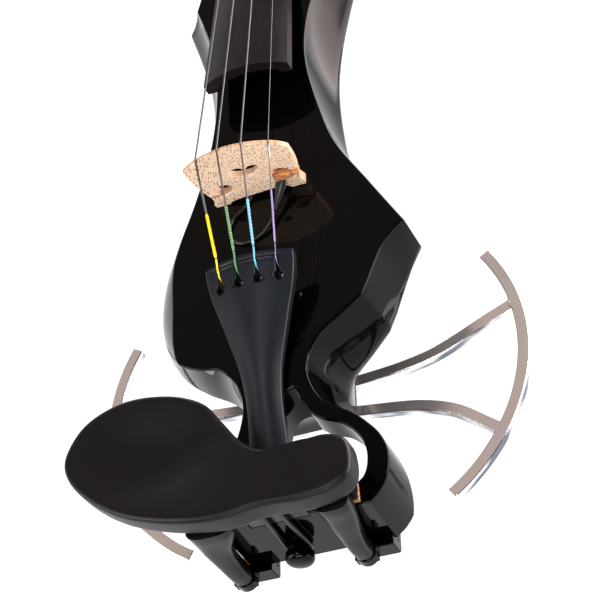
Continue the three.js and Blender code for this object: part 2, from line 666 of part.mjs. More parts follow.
// Block whose lower face is a plane through a point, falling along a plan direction.
function above(point, along, fall) {
  const across = new THREE.Vector3(-along.y, along.x, 0).normalize();
  const down = new THREE.Vector3(along.x, along.y, -fall).normalize();
  const normal = new THREE.Vector3().crossVectors(down, across);
  if (normal.z < 0) normal.negate();
  const side = new THREE.Vector3().crossVectors(down, normal).negate();
  const body = new THREE.BoxGeometry(ROOMY, ROOMY, ROOMY);
  body.translate(0, 0, ROOMY / 2);
  body.applyMatrix4(new THREE.Matrix4().makeBasis(side, down, normal));
  body.translate(point.x, point.y, point.z);
  return solid(body);
}

const plan = (p, q, s) => new THREE.Vector3(
  THREE.MathUtils.lerp(p.x, q.x, s), THREE.MathUtils.lerp(p.y, q.y, s), 0);

// Height of the fingerboard's lower edge
const boardZ = (y) => BOARD_END_Z - NECK_FALL * (y - BOARD_END_Y);
const boardEndY = BOARD_END_Y + BOARD_LENGTH;
const boardHalf = (y) => THREE.MathUtils.mapLinear(y, BOARD_END_Y, boardEndY, BOARD_HALF_WIDE, BOARD_HALF_NARROW);
const sag = (radius, x) => radius - Math.sqrt(radius * radius - x * x);
const bridgeTop = (x) => BRIDGE_CROWN - sag(BRIDGE_ARCH, x) - BRIDGE_TILT * x;

const TAIL_LENGTH = LOWER + TAIL_HEAD_Y - SADDLE_LONG - TAIL_END_GAP;

// Plane of the tail slope
const creaseLength = Math.hypot(CREASE_RUN, CREASE_DROP);
const creaseAlong = new THREE.Vector3(CREASE_DROP / creaseLength, -CREASE_RUN / creaseLength, 0);
const creasePoint = new THREE.Vector3(CREASE_X, CREASE_Y, 0);
function slopeZ(x, y) {
  const reach = (x - CREASE_X) * creaseAlong.x + (y - CREASE_Y) * creaseAlong.y;
  return reach > 0 ? -TAIL_FALL * reach : 0;
}

const JACK_FACE_X = -BODY_HALF * JACK_FACE_SHARE;

// Body
function ringOf(shares) {
  return shares.flatMap((part, s) => {
    const points = part.map(([x, y, z = 0]) => [x * BODY_HALF, y * (y > 0 ? UPPER : LOWER), z * DEPTH]);
    const drawn = smooth(points, SEGMENT_SAMPLES[s], false);
    if (s + 1 < shares.length) drawn.pop();
    return drawn.map((p) => new THREE.Vector3(...p));
  });
}

function bowOf() {
  const last = SEGMENT_SAMPLES.length - 1;
  return SEGMENT_SAMPLES.flatMap((count, s) => Array.from({ length: s < last ? count : count + 1 }, (_, i) => {
    const t = i / count;
    const [from, to] = BOW_SHARES[s];
    const plain = THREE.MathUtils.lerp(from, to, t);
    const bass = SEGMENT_SAMPLES[s] === Math.max(...SEGMENT_SAMPLES);
    return bass ? plain + BASS_BOW_SHARE * Math.sin(HALF_TURN * Math.min(1, t + t * t)) : plain;
  }));
}

function bodyShell() {
  const top = ringOf(TOP_SHARES);
  const flare = ringOf(FLARE_SHARES);
  const back = ringOf(BACK_SHARES);
  const bows = bowOf();
  const rings = RING_SHARES.map((s) => top.map((p, i) => {
    const bulge = s + 4 * bows[i] * s * (1 - s);
    const at = plan(p, flare[i], bulge);
    at.z = THREE.MathUtils.lerp(p.z, flare[i].z, s);
    return at;
  }));
  for (const s of UNDER_RING_SHARES)
    rings.push(flare.map((p, i) => {
      const bulge = s - 4 * UNDER_BOW_SHARE * s * (1 - s);
      const at = plan(p, back[i], bulge);
      at.z = THREE.MathUtils.lerp(p.z, back[i].z, s);
      return at;
    }));
  rings.push(back);
  return loft(rings);
}

function share(points) {
  return points.map(([x, y]) => [x * BODY_HALF, y * LOWER]);
}

function tailFrame() {
  const outer = [...smooth(share(FRAME_SHARES), FRAME_STEPS, false),
    ...smooth(share(FRAME_BASS_SHARES), FRAME_BASS_STEPS, false)];
  const opening = smooth(share(OPENING_SHARES), OPENING_STEPS, true);
  const arch = smooth(ARCH_SHARES.map(([y, z]) => [y * LOWER, z * DEPTH]), VAULT_STEPS, false);
  const solidFrame = prism(outer, -DEPTH, 0);
  const hole = prism(opening, -DEPTH - FIT, FIT);
  const under = crossPrism(arch, -BODY_HALF, BODY_HALF);
  return solidFrame.subtract(hole).subtract(under);
}

const coverFront = CAVITY_FRONT_Y + COVER_LIP;
const coverBack = CAVITY_BACK_Y - COVER_LIP;
const coverHalf = CAVITY_HALF + COVER_SIDE_LIP;
const boxFront = BOX_BACK_Y + BOX_LENGTH;
const doorBack = BOX_BACK_Y - BOX_ROOM - DOOR_LIP;
const doorFront = boxFront + BOX_ROOM + DOOR_LIP;
const doorHalf = BOX_HALF + BOX_ROOM / 2 + DOOR_LIP;
const coverScrewX = CAVITY_HALF + COVER_SIDE_LIP / 2;
const coverScrewY = (CAVITY_FRONT_Y + CAVITY_BACK_Y) / 2;
const wingScrews = [WING_SCREW_FRONT_Y, WING_SCREW_BACK_Y];
const V = (x, y, z) => new THREE.Vector3(x, y, z);

function makeBody() {
  let body = bodyShell().add(tailFrame());
  body = body.subtract(above(creasePoint, creaseAlong, TAIL_FALL));
  const root = V(0, BOARD_END_Y, BOARD_END_Z - SEAT);
  body = body.subtract(above(root, V(0, 1, 0), NECK_FALL));
  // cavity and rebate of the cover
  const room = RECESS_FIT;
  const cuts = [
    box(-CAVITY_HALF, CAVITY_HALF, CAVITY_BACK_Y, CAVITY_FRONT_Y, -DEPTH - FIT, CAVITY_TOP),
    box(-coverHalf - room, coverHalf + room, coverBack - room, coverFront + room, -DEPTH - FIT,
      -DEPTH + COVER_THICK + room),
    box(-BOX_HALF - BOX_ROOM / 2, BOX_HALF + BOX_ROOM / 2, BOX_BACK_Y - BOX_ROOM, boxFront + BOX_ROOM,
      -DEPTH - FIT, -DEPTH + DOOR_THICK + BOX_THICK + BOX_ROOM),
    box(-doorHalf - room, doorHalf + room, doorBack - room, doorFront + room, -DEPTH - FIT,
      -DEPTH + DOOR_THICK + room),
    rod(LEAD_RADIUS + LEAD_ROOM, V(LEAD_HOLE_X, LEAD_HOLE_Y, CAVITY_TOP - FIT), V(LEAD_HOLE_X, LEAD_HOLE_Y, FIT),
      SMALL_ROUND),
    // lead of the battery to the cavity
    box(-WIRE_RADIUS - BOX_ROOM, WIRE_RADIUS + BOX_ROOM, CAVITY_FRONT_Y - BOX_ROOM, BOX_BACK_Y,
      -DEPTH + COVER_THICK + BOX_ROOM + BOX_ROOM + BOX_ROOM, -DEPTH + BOX_THICK),
    // neck mortise
    box(-TENON_HALF - FIT, TENON_HALF + FIT, UPPER - TENON_LENGTH - FIT, UPPER + FIT, TENON_FLOOR - FIT,
      TENON_TOP + FIT),
    // saddle, button and jack
    box(-SADDLE_HALF - SEAT, SADDLE_HALF + SEAT, -LOWER - FIT, -LOWER + SADDLE_LONG + SEAT, SADDLE_FLOOR - SEAT, 0),
    rod(BUTTON_NECK + SEAT, V(0, -LOWER - FIT, BUTTON_Z), V(0, -LOWER + BUTTON_SHANK + FIT, BUTTON_Z)),
    rod(JACK_RADIUS + SEAT, V(JACK_FACE_X - FIT, JACK_Y, JACK_Z), V(-CAVITY_HALF + FIT, JACK_Y, JACK_Z)),
    rod(JACK_SPOT, V(-BODY_HALF, JACK_Y, JACK_Z), V(JACK_FACE_X, JACK_Y, JACK_Z)),
  ];
  for (const side of [-1, 1]) {
    for (const y of wingScrews)
      cuts.push(rod(WING_SCREW + SEAT, V(side * WING_SCREW_X, y, -DEPTH - FIT),
        V(side * WING_SCREW_X, y, -DEPTH + WING_SCREW_DEEP + FIT), SMALL_ROUND));
    cuts.push(rod(COVER_SCREW + SEAT, V(side * coverScrewX, coverScrewY, -DEPTH - FIT),
      V(side * coverScrewX, coverScrewY, -DEPTH + COVER_SCREW_DEEP + FIT), SMALL_ROUND));
  }
  for (const cut of cuts) body = body.subtract(cut);
  return body;
}
add("body", makeBody(), "lacquer");

// Fingerboard
function boardRing(y) {
  const half = boardHalf(y);
  const side = THREE.MathUtils.mapLinear(y, BOARD_END_Y, boardEndY, BOARD_SIDE, BOARD_SIDE_NARROW);
  const low = boardZ(y);
  const high = low + side + sag(BOARD_ARCH, half);
  const steps = ARC_STEPS;
  const ring = [V(-half, y, low), V(half, y, low)];
  for (let i = 0; i <= steps; i++) {
    const x = THREE.MathUtils.lerp(half, -half, i / steps);
    ring.push(V(x, y, high - sag(BOARD_ARCH, x)));
  }
  return ring;
}

function hollowRing(y, s) {
  const steps = HOLLOW_STEPS;
  const half = HOLLOW_HALF * (1 - s / 4);
  const rise = HOLLOW_RISE * (1 - s / 2);
  const ring = [];
  for (let i = 0; i <= steps; i++) {
    const angle = (i * HALF_TURN) / steps;
    ring.push(V(Math.cos(angle) * half, y, boardZ(y) + Math.sin(angle) * rise));
  }
  ring.push(V(-half, y, boardZ(y) - FIT * 4), V(half, y, boardZ(y) - FIT * 4));
  return ring;
}

const upright = (p) => new THREE.Vector2(p.x, p.z);
const hollow = loft([hollowRing(BOARD_END_Y - FIT, 0), hollowRing(BOARD_END_Y + HOLLOW_LENGTH, 1)], upright);
add("fingerboard", loft([boardRing(BOARD_END_Y), boardRing(boardEndY)], upright).subtract(hollow), "ebony");

// Neck with pegbox and scroll
const rimY = boardEndY + NUT_LENGTH + FIT + FIT;
const pegboxEndY = rimY + PEGBOX_LENGTH;
const rimZ = (y) => boardZ(rimY) - SEAT - PEGBOX_TOP_FALL * (y - rimY);

function neckRing(y, depth, half) {
  const top = boardZ(y) - SEAT;
  const steps = NECK_STEPS;
  const ring = [V(half, y, top), V(-half, y, top)];
  for (let i = 1; i < steps; i++) {
    const angle = (i * HALF_TURN) / steps;
    const c = -Math.cos(angle);
    const x = Math.sign(c) * Math.pow(Math.abs(c), NECK_POWER) * half;
    ring.push(V(x, y, top - FIT - Math.pow(Math.sin(angle), NECK_POWER) * depth));
  }
  return ring;
}

function neckBlank() {
  const root = UPPER + SEAT;
  const stations = [
    ...HEEL_SHARES.map(([t, deep]) => [t, deep * HEEL_DEEP]),
    ...NECK_SHARES.map(([t, deep]) => [t, deep * NECK_DEEP]),
    [NECK_MIDDLE_SHARE, (NECK_DEEP + NECK_SLIM) / 2],
    ...SLIM_SHARES.map(([t, deep]) => [t, deep * NECK_SLIM]),
  ];
  const span = rimY - root;
  return loft(stations.map(([t, depth]) => {
    const y = root + t * span;
    return neckRing(y, depth, boardHalf(Math.min(y, boardEndY)));
  }), upright);
}

function pegboxRing(y, half, floor) {
  const top = Math.min(rimZ(y), boardZ(y) - SEAT);
  const cut = PEGBOX_CHAMFER;
  return [V(half, y, top), V(-half, y, top), V(-half, y, floor + cut), V(-half + cut, y, floor),
    V(half - cut, y, floor), V(half, y, floor + cut)];
}

function pegbox() {
  const outer = loft(PEGBOX_SHARES.map(([t, w, deep]) => {
    const y = rimY + t * PEGBOX_LENGTH;
    return pegboxRing(y, PEGBOX_HALF * w, rimZ(y) - deep * PEGBOX_DEEP);
  }), upright);
  const inner = loft(PEGBOX_SHARES.slice(1, -1).map(([t, w, deep]) => {
    const y = rimY + t * PEGBOX_LENGTH;
    const half = PEGBOX_HALF * w - CHEEK;
    const lift = rimZ(y) + CHEEK;
    const floor = rimZ(y) - deep * PEGBOX_DEEP + CHEEK;
    return [V(half, y, lift), V(-half, y, lift), V(-half, y, floor), V(half, y, floor)];
  }), upright);
  return [outer, inner];
}

const scrollY = pegboxEndY + SCROLL_RADIUS * SCROLL_SET_SHARE[0];
const scrollZ = rimZ(pegboxEndY) - SCROLL_RADIUS * SCROLL_SET_SHARE[1];
function scroll() {
  const turns = [[SCROLL_RADIUS, SCROLL_HALF], [SCROLL_RADIUS * SCROLL_TURN_SHARE, (SCROLL_HALF + SCROLL_EAR) / 2],
    [SCROLL_EYE, SCROLL_EAR]];
  let body = null;
  for (const [radius, half] of turns) {
    const disc = rod(radius, V(-half, scrollY, scrollZ), V(half, scrollY, scrollZ), SCROLL_ROUND);
    body = body ? body.add(disc) : disc;
  }
  return body;
}

const pegs = STRING_NAMES.map((name, i) => {
  const y = boardEndY + PEG_FIRST + PEG_ORDER[i] * PEG_STEPS;
  return { name, side: i < STRING_NAMES.length / 2 ? -1 : 1, y, z: rimZ(y) - PEG_DEPTH };
});

function makeNeck() {
  const [outer, inner] = pegbox();
  let neck = neckBlank().add(outer).add(scroll()).subtract(inner);
  neck = neck.add(box(-TENON_HALF, TENON_HALF, UPPER - TENON_LENGTH, UPPER + FIT, TENON_FLOOR, TENON_TOP));
  for (const peg of pegs)
    neck = neck.subtract(rod(PEG_RADIUS + FIT, V(-BODY_HALF, peg.y, peg.z), V(BODY_HALF, peg.y, peg.z)));
  return neck;
}
add("neck", makeNeck(), "lacquer");

// Nut
const stringX = (i, spread) => (i / (STRING_NAMES.length - 1) - 1 / 2) * spread;
const nutTop = (x) => boardZ(boardEndY) + NUT_HIGH - sag(BRIDGE_ARCH, x);
function makeNut() {
  const half = BOARD_HALF_NARROW;
  const steps = ARC_STEPS;
  const from = boardEndY + SEAT;
  const to = boardEndY + NUT_LENGTH;
  const ring = (y) => {
    const points = [V(-half, y, boardZ(y)), V(half, y, boardZ(y))];
    const lower = y > from ? NUT_FALL : 0;
    for (let i = 0; i <= steps; i++) {
      const x = THREE.MathUtils.lerp(half, -half, i / steps);
      points.push(V(x, y, nutTop(x) - lower));
    }
    return points;
  };
  return loft([ring(from), ring(to)], upright);
}
add("nut", makeNut(), "bone");

// Pegs: a tapered shaft through both cheeks, a collar and a flat grip
function makePeg(peg) {
  const out = V(peg.side, 0, 0);
  const cheek = PEGBOX_HALF + FIT;
  const collar = cheek + PEG_COLLAR_LENGTH;
  const profile = [[0, -cheek - PEG_TIP], [PEG_RADIUS - PEG_TAPER, -cheek - PEG_TIP], [PEG_RADIUS, cheek],
    [PEG_COLLAR, cheek + PEG_TAPER], [PEG_COLLAR, collar - PEG_TIP], [PEG_WAIST + SEAT, collar],
    [PEG_WAIST, collar + PEG_WAIST_LENGTH], [0, collar + PEG_WAIST_LENGTH]];
  const shaft = turned(profile, V(0, peg.y, peg.z), out);
  const grip = new THREE.SphereGeometry(1, GRIP_SIDES, GRIP_ROWS);
  grip.scale((PEG_STEM * PEG_GRIP_SHARE) / 2, PEG_GRIP_HALF, PEG_GRIP_THICK);
  grip.translate(peg.side * (collar + PEG_STEM / 2), peg.y, peg.z);
  return shaft.add(solid(grip));
}
for (const peg of pegs) add("peg_" + peg.name, makePeg(peg), "ebony");

// Bridge
const ofBridge = (shares) => shares.map(([x, z]) => [x * BRIDGE_FOOT_HALF, z * BRIDGE_CROWN]);

function bridgeOutline() {
  const points = [[-BRIDGE_FOOT_HALF, 0], ...ofBridge(BRIDGE_ARCH_SHARES), [BRIDGE_FOOT_HALF, 0],
    ...ofBridge(BRIDGE_TREBLE_SHARES)];
  for (let i = 0; i <= BRIDGE_STEPS; i++) {
    const x = THREE.MathUtils.lerp(BRIDGE_TOP_TREBLE, BRIDGE_TOP_BASS, i / BRIDGE_STEPS);
    points.push([x, bridgeTop(x)]);
  }
  return [...points, ...ofBridge(BRIDGE_BASS_SHARES)];
}

function ellipse([x, z, half, rise]) {
  return ofBridge(Array.from({ length: BRIDGE_STEPS }, (_, i) => {
    const angle = (i * FULL_TURN) / BRIDGE_STEPS;
    return [x + Math.cos(angle) * half, z + Math.sin(angle) * rise];
  }));
}

function slab(points, y0, y1) {
  const rings = [y0, y1].map((y) => points.map(([x, z]) => V(x, y, z)));
  return loft(rings, upright);
}

function makeBridge() {
  let body = slab(bridgeOutline(), 0, BRIDGE_THICK);
  // the scroll side leans in to the thin top edge
  const top = BRIDGE_CROWN + SLOT_RISE;
  const wedge = crossPrism([[BRIDGE_THICK, BRIDGE_LEAN_FROM], [BRIDGE_THICK * 3, BRIDGE_LEAN_FROM],
    [BRIDGE_THICK * 3, top], [BRIDGE_EDGE, top]], -BODY_HALF, BODY_HALF);
  body = body.subtract(wedge);
  const deep = BRIDGE_THICK + FIT;
  const cuts = [
    slab(ellipse(EYE_BASS_SHARE), -FIT, deep),
    slab(ofBridge(SLIT_BASS_SHARES), -FIT, deep),
    slab(ellipse(EYE_TREBLE_SHARE), -FIT, deep),
    slab(ofBridge(SLIT_TREBLE_SHARES), -FIT, deep),
    slab(smooth(ofBridge(HEART_SHARES), HEART_STEPS, true), -FIT, deep),
  ];
  STRING_NAMES.forEach((_, i) => {
    const x = stringX(i, STRING_SPREAD);
    const z = bridgeTop(x);
    const half = STRING_RADII[i] + SLOT_ROOM;
    cuts.push(slab([[x - half, z + SLOT_RISE], [x - half, z - FIT], [x + half, z - FIT], [x + half, z + SLOT_RISE]],
      -FIT, deep));
  });
  for (const cut of cuts) body = body.subtract(cut);
  return body.translate([0, 0, BRIDGE_SEAT]);
}
add("bridge", makeBridge(), "maple");
const wedgeY = (BRIDGE_THICK - WEDGE_THICK) / 3;
const wedge = slab(ofBridge(WEDGE_SHARES), wedgeY, wedgeY + WEDGE_THICK);
add("piezo_wedge", wedge.translate([0, 0, BRIDGE_SEAT]), "wedge");

// Shielded lead of the pickup: sleeve at the wedge, a loop on the plate and a hole to the back
const sleevePath = SLEEVE_SHARES.map((point) => point.map((value) => value * BRIDGE_FOOT_HALF));
const sleeveSizes = SLEEVE_SIZE_SHARES.map((size) => size * SLEEVE_LEAD_RADIUS);
add("pickup_sleeve", cord(sleevePath, sleeveSizes, SMALL_ROUND), "plastic");
const leadZ = LEAD_RADIUS + BRIDGE_SEAT;
const leadPoints = smooth(LEAD_SHARES.map(([x, y, lift]) => [x * BRIDGE_FOOT_HALF, y * BRIDGE_FOOT_HALF,
  leadZ + lift * BRIDGE_FOOT_HALF]), LEAD_STEPS, false);
const leadDown = [[LEAD_HOLE_X, LEAD_HOLE_Y - FIT, LEAD_RADIUS - SEAT],
  [LEAD_HOLE_X, LEAD_HOLE_Y, -LEAD_RADIUS - LEAD_ROOM], [LEAD_HOLE_X, LEAD_HOLE_Y, CAVITY_TOP - LEAD_TAIL]];
add("pickup_cable", cord([...leadPoints, ...leadDown], LEAD_RADIUS), "plastic");

// Tailpiece
const tailZ = (t) => {
  const i = Math.max(1, TAIL_DROP_SHARES.findIndex(([s]) => s >= t));
  const [s0, d0] = TAIL_DROP_SHARES[i - 1];
  const [s1, d1] = TAIL_DROP_SHARES[i];
  return TAIL_HEAD_Z - TAIL_DROP * THREE.MathUtils.mapLinear(t, s0, s1, d0, d1);
};
const tailThick = (t) => TAIL_THICK * (1 - TAIL_THIN_SHARE * Math.min(1, t * TAIL_THIN_RATE));
const tailArch = (t) => THREE.MathUtils.lerp(TAIL_CROWN, TAIL_CROWN * TAIL_FLAT_SHARE, t);
function tailTop(t, x, half) {
  const edge = tailZ(t);
  return edge + tailArch(t) * (1 - (x * x) / (half * half));
}
function makeTailpiece() {
  const steps = TAIL_STEPS;
  const rings = TAIL_WIDTH_SHARES.map(([t, w]) => {
    const half = TAIL_HALF * w;
    const y = TAIL_HEAD_Y - t * TAIL_LENGTH;
    const ring = [];
    for (let i = 0; i <= steps; i++) {
      const x = THREE.MathUtils.lerp(half, -half, i / steps);
      ring.push(V(x, y, tailTop(t, x, half)));
    }
    for (let i = 0; i <= steps; i++) {
      const x = THREE.MathUtils.lerp(-half, half, i / steps);
      const hollow = tailArch(t) * (1 - (x * x) / (half * half)) * (1 - t) * TAIL_HOLLOW_SHARE;
      ring.push(V(x, y, tailZ(t) - tailThick(t) + hollow));
    }
    return ring;
  });
  let body = loft(rings, upright);
  STRING_NAMES.forEach((_, i) => {
    const x = stringX(i, HOLE_SPREAD);
    const low = TAIL_HEAD_Z - TAIL_DROP;
    body = body.subtract(rod(HOLE_RADIUS, V(x, HOLE_Y, low), V(x, HOLE_Y, BRIDGE_CROWN)));
    body = body.subtract(box(x - KEY_HALF, x + KEY_HALF, HOLE_Y, HOLE_Y + KEY_LENGTH, low, BRIDGE_CROWN));
  });
  const end = TAIL_HEAD_Y - TAIL_LENGTH;
  for (const side of [-1, 1])
    body = body.subtract(rod(GUT_RADIUS + SEAT, V(side * GUT_SPREAD, end - FIT, gutStartZ),
      V(side * GUT_SPREAD, end + GUT_BORE, gutStartZ), SMALL_ROUND));
  return body;
}
const gutStartZ = TAIL_HEAD_Z - TAIL_DROP - SEAT;
add("tailpiece", makeTailpiece(), "plastic");

// Saddle, end button and gut
function makeSaddle() {
  const y0 = -LOWER;
  const top = SADDLE_SHARES.map(([along, down]) => [y0 + along * SADDLE_LONG, SADDLE_TOP - down * SADDLE_LONG]);
  return crossPrism([[y0, SADDLE_FLOOR], [y0 + SADDLE_LONG, SADDLE_FLOOR], ...top], -SADDLE_HALF, SADDLE_HALF);
}
add("saddle", makeSaddle(), "ebony");

const buttonHead = BUTTON_SHARES.map(([r, h]) => [r * BUTTON_RADIUS, BUTTON_GAP + h * BUTTON_HEAD]);
const buttonProfile = [[0, -BUTTON_SHANK], [BUTTON_NECK, -BUTTON_SHANK], [BUTTON_NECK, BUTTON_GAP], ...buttonHead];
add("end_button", turned(buttonProfile, V(0, -LOWER, BUTTON_Z), V(0, -1, 0), FINE_ROUND), "lacquer");

function gutPath() {
  const y = -LOWER - BUTTON_GAP / 2;
  const top = SADDLE_TOP + GUT_RADIUS + SEAT;
  const end = TAIL_HEAD_Y - TAIL_LENGTH;
  const reach = BUTTON_NECK + GUT_RADIUS + SEAT;
  const half = [[-GUT_SPREAD, end + GUT_HOLD, gutStartZ], [-GUT_SPREAD, end - GUT_RADIUS, gutStartZ],
    ...GUT_SHARES.map(([along, up]) => [-GUT_SPREAD, -LOWER + along * SADDLE_LONG, top + up * SADDLE_LONG]),
    [-reach, y, BUTTON_Z + BUTTON_NECK]];
  const bend = [];
  for (let i = 0; i <= SMALL_ROUND; i++) {
    const angle = HALF_TURN + (i * HALF_TURN) / SMALL_ROUND;
    bend.push([Math.cos(angle) * reach, y, BUTTON_Z + Math.sin(angle) * reach]);
  }
  const back = half.map(([x, yy, z]) => [-x, yy, z]).reverse();
  return [...half, ...bend, ...back];
}
add("tailgut", cord(gutPath(), GUT_RADIUS), "plastic");

// Strings, silk, balls and the sleeve of the thinnest string
const ridgeY = TAIL_HEAD_Y - RIDGE_SETBACK;
function widthAt(t) {
  const i = Math.max(1, TAIL_WIDTH_SHARES.findIndex(([s]) => s >= t));
  const [s0, w0] = TAIL_WIDTH_SHARES[i - 1];
  const [s1, w1] = TAIL_WIDTH_SHARES[i];
  return TAIL_HALF * THREE.MathUtils.mapLinear(t, s0, s1, w0, w1);
}
const topAt = (x, y) => {
  const t = (TAIL_HEAD_Y - y) / TAIL_LENGTH;
  return tailTop(t, x, widthAt(t));
};
STRING_NAMES.forEach((name, i) => {
  const r = STRING_RADII[i];
  const xb = stringX(i, STRING_SPREAD);
  const xt = stringX(i, HOLE_SPREAD);
  const xn = stringX(i, NUT_SPREAD);
  const peg = pegs[i];
  const lift = r + SEAT;
  const rest = [xb, BRIDGE_EDGE / 2, bridgeTop(xb) + BRIDGE_SEAT + r];
  const ridgeX = THREE.MathUtils.mapLinear(ridgeY, 0, HOLE_Y + HOLE_REACH, xb, xt);
  const ridge = [ridgeX, TAIL_HEAD_Y + RIDGE_RUN, topAt(ridgeX, TAIL_HEAD_Y) + lift + RIDGE_LIFT];
  const behind = [xt, ridgeY - RIDGE_AFTER, topAt(xt, ridgeY) + lift + RIDGE_LIFT - SLOT_ROOM];
  const slotY = HOLE_Y + KEY_LENGTH / 2;
  const slotTop = [xt, slotY + KEY_ROOM, topAt(xt, slotY + KEY_ROOM) - KEY_DIP];
  const under = topAt(xt, slotY) - TAIL_THICK - BALL_DROP;
  const slotLow = [xt, slotY, under];
  // windings on the peg
  const wrap = PEG_RADIUS + SEAT + r;
  const turn = [];
  for (let k = 0; k <= WRAP_STEPS; k++) {
    const done = k / WRAP_STEPS;
    const angle = HALF_TURN / 2 - done * WRAP_TURNS * FULL_TURN + WRAP_START * DEGREE;
    turn.push([WRAP_X[i] - Math.sign(WRAP_X[i]) * done * WRAP_PITCH * WRAP_TURNS, peg.y + Math.cos(angle) * wrap,
      peg.z + Math.sin(angle) * wrap]);
  }
  const nutIn = [xn, boardEndY + SEAT + NUT_SET, nutTop(xn) + r + SEAT];
  const nutOut = [xn, boardEndY + NUT_LENGTH - NUT_SET, nutTop(xn) - NUT_DIP + r + SEAT];
  const path = [slotLow, slotTop, behind, ridge, rest, nutIn, nutOut, ...turn];
  add("string_" + name, cord(path, r), "steel");
  // silk between bridge and tailpiece
  const start = V(...rest);
  const stop = V(...ridge);
  const way = stop.clone().sub(start);
  const from = start.clone().addScaledVector(way, SILK_FROM / Math.abs(way.y));
  const to = start.clone().addScaledVector(way, 1 - SILK_STOP / Math.abs(way.y));
  const silkOuter = cord([from.toArray(), to.toArray()], r + SILK_GAP + SILK_WALL);
  const longer = way.clone().normalize();
  const silkInner = cord([from.clone().sub(longer).toArray(), to.clone().add(longer).toArray()], r + SILK_GAP);
  add("silk_" + name, silkOuter.subtract(silkInner), "silk" + name.toUpperCase());
  const ball = new THREE.SphereGeometry(BALL_RADIUS, SMALL_ROUND, BALL_ROWS);
  ball.translate(xt, slotY, under - BALL_RADIUS - SEAT);
  add("ball_" + name, solid(ball), "steel");
  if (name === "e") {
    const a = start.clone().addScaledVector(way, SLEEVE_FROM / Math.abs(way.y));
    const b = start.clone().addScaledVector(way, SLEEVE_LENGTH / Math.abs(way.y));
    const sizes = [SLEEVE_RADIUS, SLEEVE_RADIUS * SLEEVE_TAPER_SHARE];
    const tube = cord([a.toArray(), b.toArray()], sizes);
    const bore = cord([a.clone().sub(longer).toArray(), b.clone().add(longer).toArray()], r + SILK_GAP);
    add("string_sleeve_e", tube.subtract(bore), "clear");
  }
});

// Chinrest plate
function chinOutline(count) {
  const points = CHIN_SHARES.map(([x, y]) => [x * CHIN_SPAN, CHIN_MIDDLE_Y + y * CHIN_WIDE]);
  return smooth(points, count, true);
}
const chinHub = [CHIN_HUB_SHARE[0] * CHIN_SPAN, CHIN_MIDDLE_Y + CHIN_HUB_SHARE[1] * CHIN_WIDE];
function chinTop(x, y) {
  const front = CHIN_MIDDLE_Y + CHIN_WIDE / 2;
  const rise = THREE.MathUtils.mapLinear(y, front, front - CHIN_WIDE, CHIN_FRONT, CHIN_BACK);
  const [cx, cy, rx, ry] = CHIN_CUP_SHARE;
  const u = (x - cx * CHIN_SPAN) / (rx * CHIN_SPAN);
  const v = (y - CHIN_MIDDLE_Y - cy * CHIN_WIDE) / (ry * CHIN_WIDE);
  return rise - CHIN_CUP * Math.exp(-u * u - v * v);
}
function inset(outline, amount) {
  return outline.map(([x, y], i) => {
    const [ax, ay] = outline[(i + outline.length - 1) % outline.length];
    const [bx, by] = outline[(i + 1) % outline.length];
    const length = Math.hypot(bx - ax, by - ay);
    return [x - ((by - ay) / length) * amount, y + ((bx - ax) / length) * amount];
  });
}
function makeChinrest() {
  const outline = chinOutline(CHIN_STEPS);
  const at = (points, z) => points.map(([x, y]) => V(x, y, typeof z === "number" ? z : z(x, y)));
  const toward = (s) => outline.map(([x, y]) => [THREE.MathUtils.lerp(chinHub[0], x, s),
    THREE.MathUtils.lerp(chinHub[1], y, s)]);
  const rings = [
    ...CHIN_LOWER_SHARES.map(([edge, up]) => at(inset(outline, CHIN_RIM * edge), CHIN_UNDER + up * CHIN_RIM)),
    ...CHIN_UPPER_SHARES.map(([edge, up, down]) => at(inset(outline, CHIN_RIM * edge),
      (x, y) => Math.max(CHIN_UNDER + up * CHIN_RIM, chinTop(x, y) - down * CHIN_RIM))),
    ...CHIN_FIELD_SHARES.map(([s, down]) => at(toward(s), (x, y) => chinTop(x, y) - down * CHIN_RIM)),
  ];
  let body = loft(rings);
  for (const x of [PAD_BASS_X, PAD_TREBLE_X]) {
    const z = slopeZ(x, PAD_Y) + PAD_THICK;
    body = body.add(box(x - PAD_HALF, x + PAD_HALF, PAD_Y - PAD_LENGTH / 2, PAD_Y + PAD_LENGTH / 2, z,
      CHIN_UNDER + PAD_THICK / 2));
  }
  return body;
}
add("chinrest_plate", makeChinrest(), "plastic");

for (const [name, x] of [["bass", PAD_BASS_X], ["treble", PAD_TREBLE_X]]) {
  const z = slopeZ(x, PAD_Y);
  const block = box(x - PAD_HALF, x + PAD_HALF, PAD_Y - PAD_LENGTH / 2, PAD_Y + PAD_LENGTH / 2, z - PAD_THICK,
    z + PAD_THICK - SEAT);
  const lifted = creasePoint.clone();
  lifted.z = SEAT;
  const pad = block.intersect(above(lifted, creaseAlong, TAIL_FALL));
  add("chinrest_cork_" + name, pad, "cork");
}

// Clamp legs: moulded posts behind the end face
const legTop = CHIN_UNDER - SEAT;
const legSpan = legTop - LEG_FLOOR;
const footTop = LEG_FLOOR - FOOT_GAP;
function makeLeg(rows, x) {
  const rings = rows.map(([t, middle, half, thick]) => Array.from({ length: ROUND }, (_, i) => {
    const angle = (i * FULL_TURN) / ROUND;
    const c = Math.cos(angle);
    const s = Math.sin(angle);
    const across = middle + Math.sign(c) * Math.pow(Math.abs(c), LEG_POWER) * half;
    const along = Math.sign(s) * Math.pow(Math.abs(s), LEG_POWER) * LEG_HALF_Y * thick;
    return V(across * CHIN_SPAN, LEG_Y + along, legTop + t * legSpan);
  }));
  const boreTop = LEG_FLOOR + SCREW_IN_LEG + SCREW_END;
  const bore = rod(SCREW_RADIUS + FIT, V(x, LEG_Y, LEG_FLOOR - FIT), V(x, LEG_Y, boreTop), SMALL_ROUND);
  return loft(rings).subtract(bore);
}
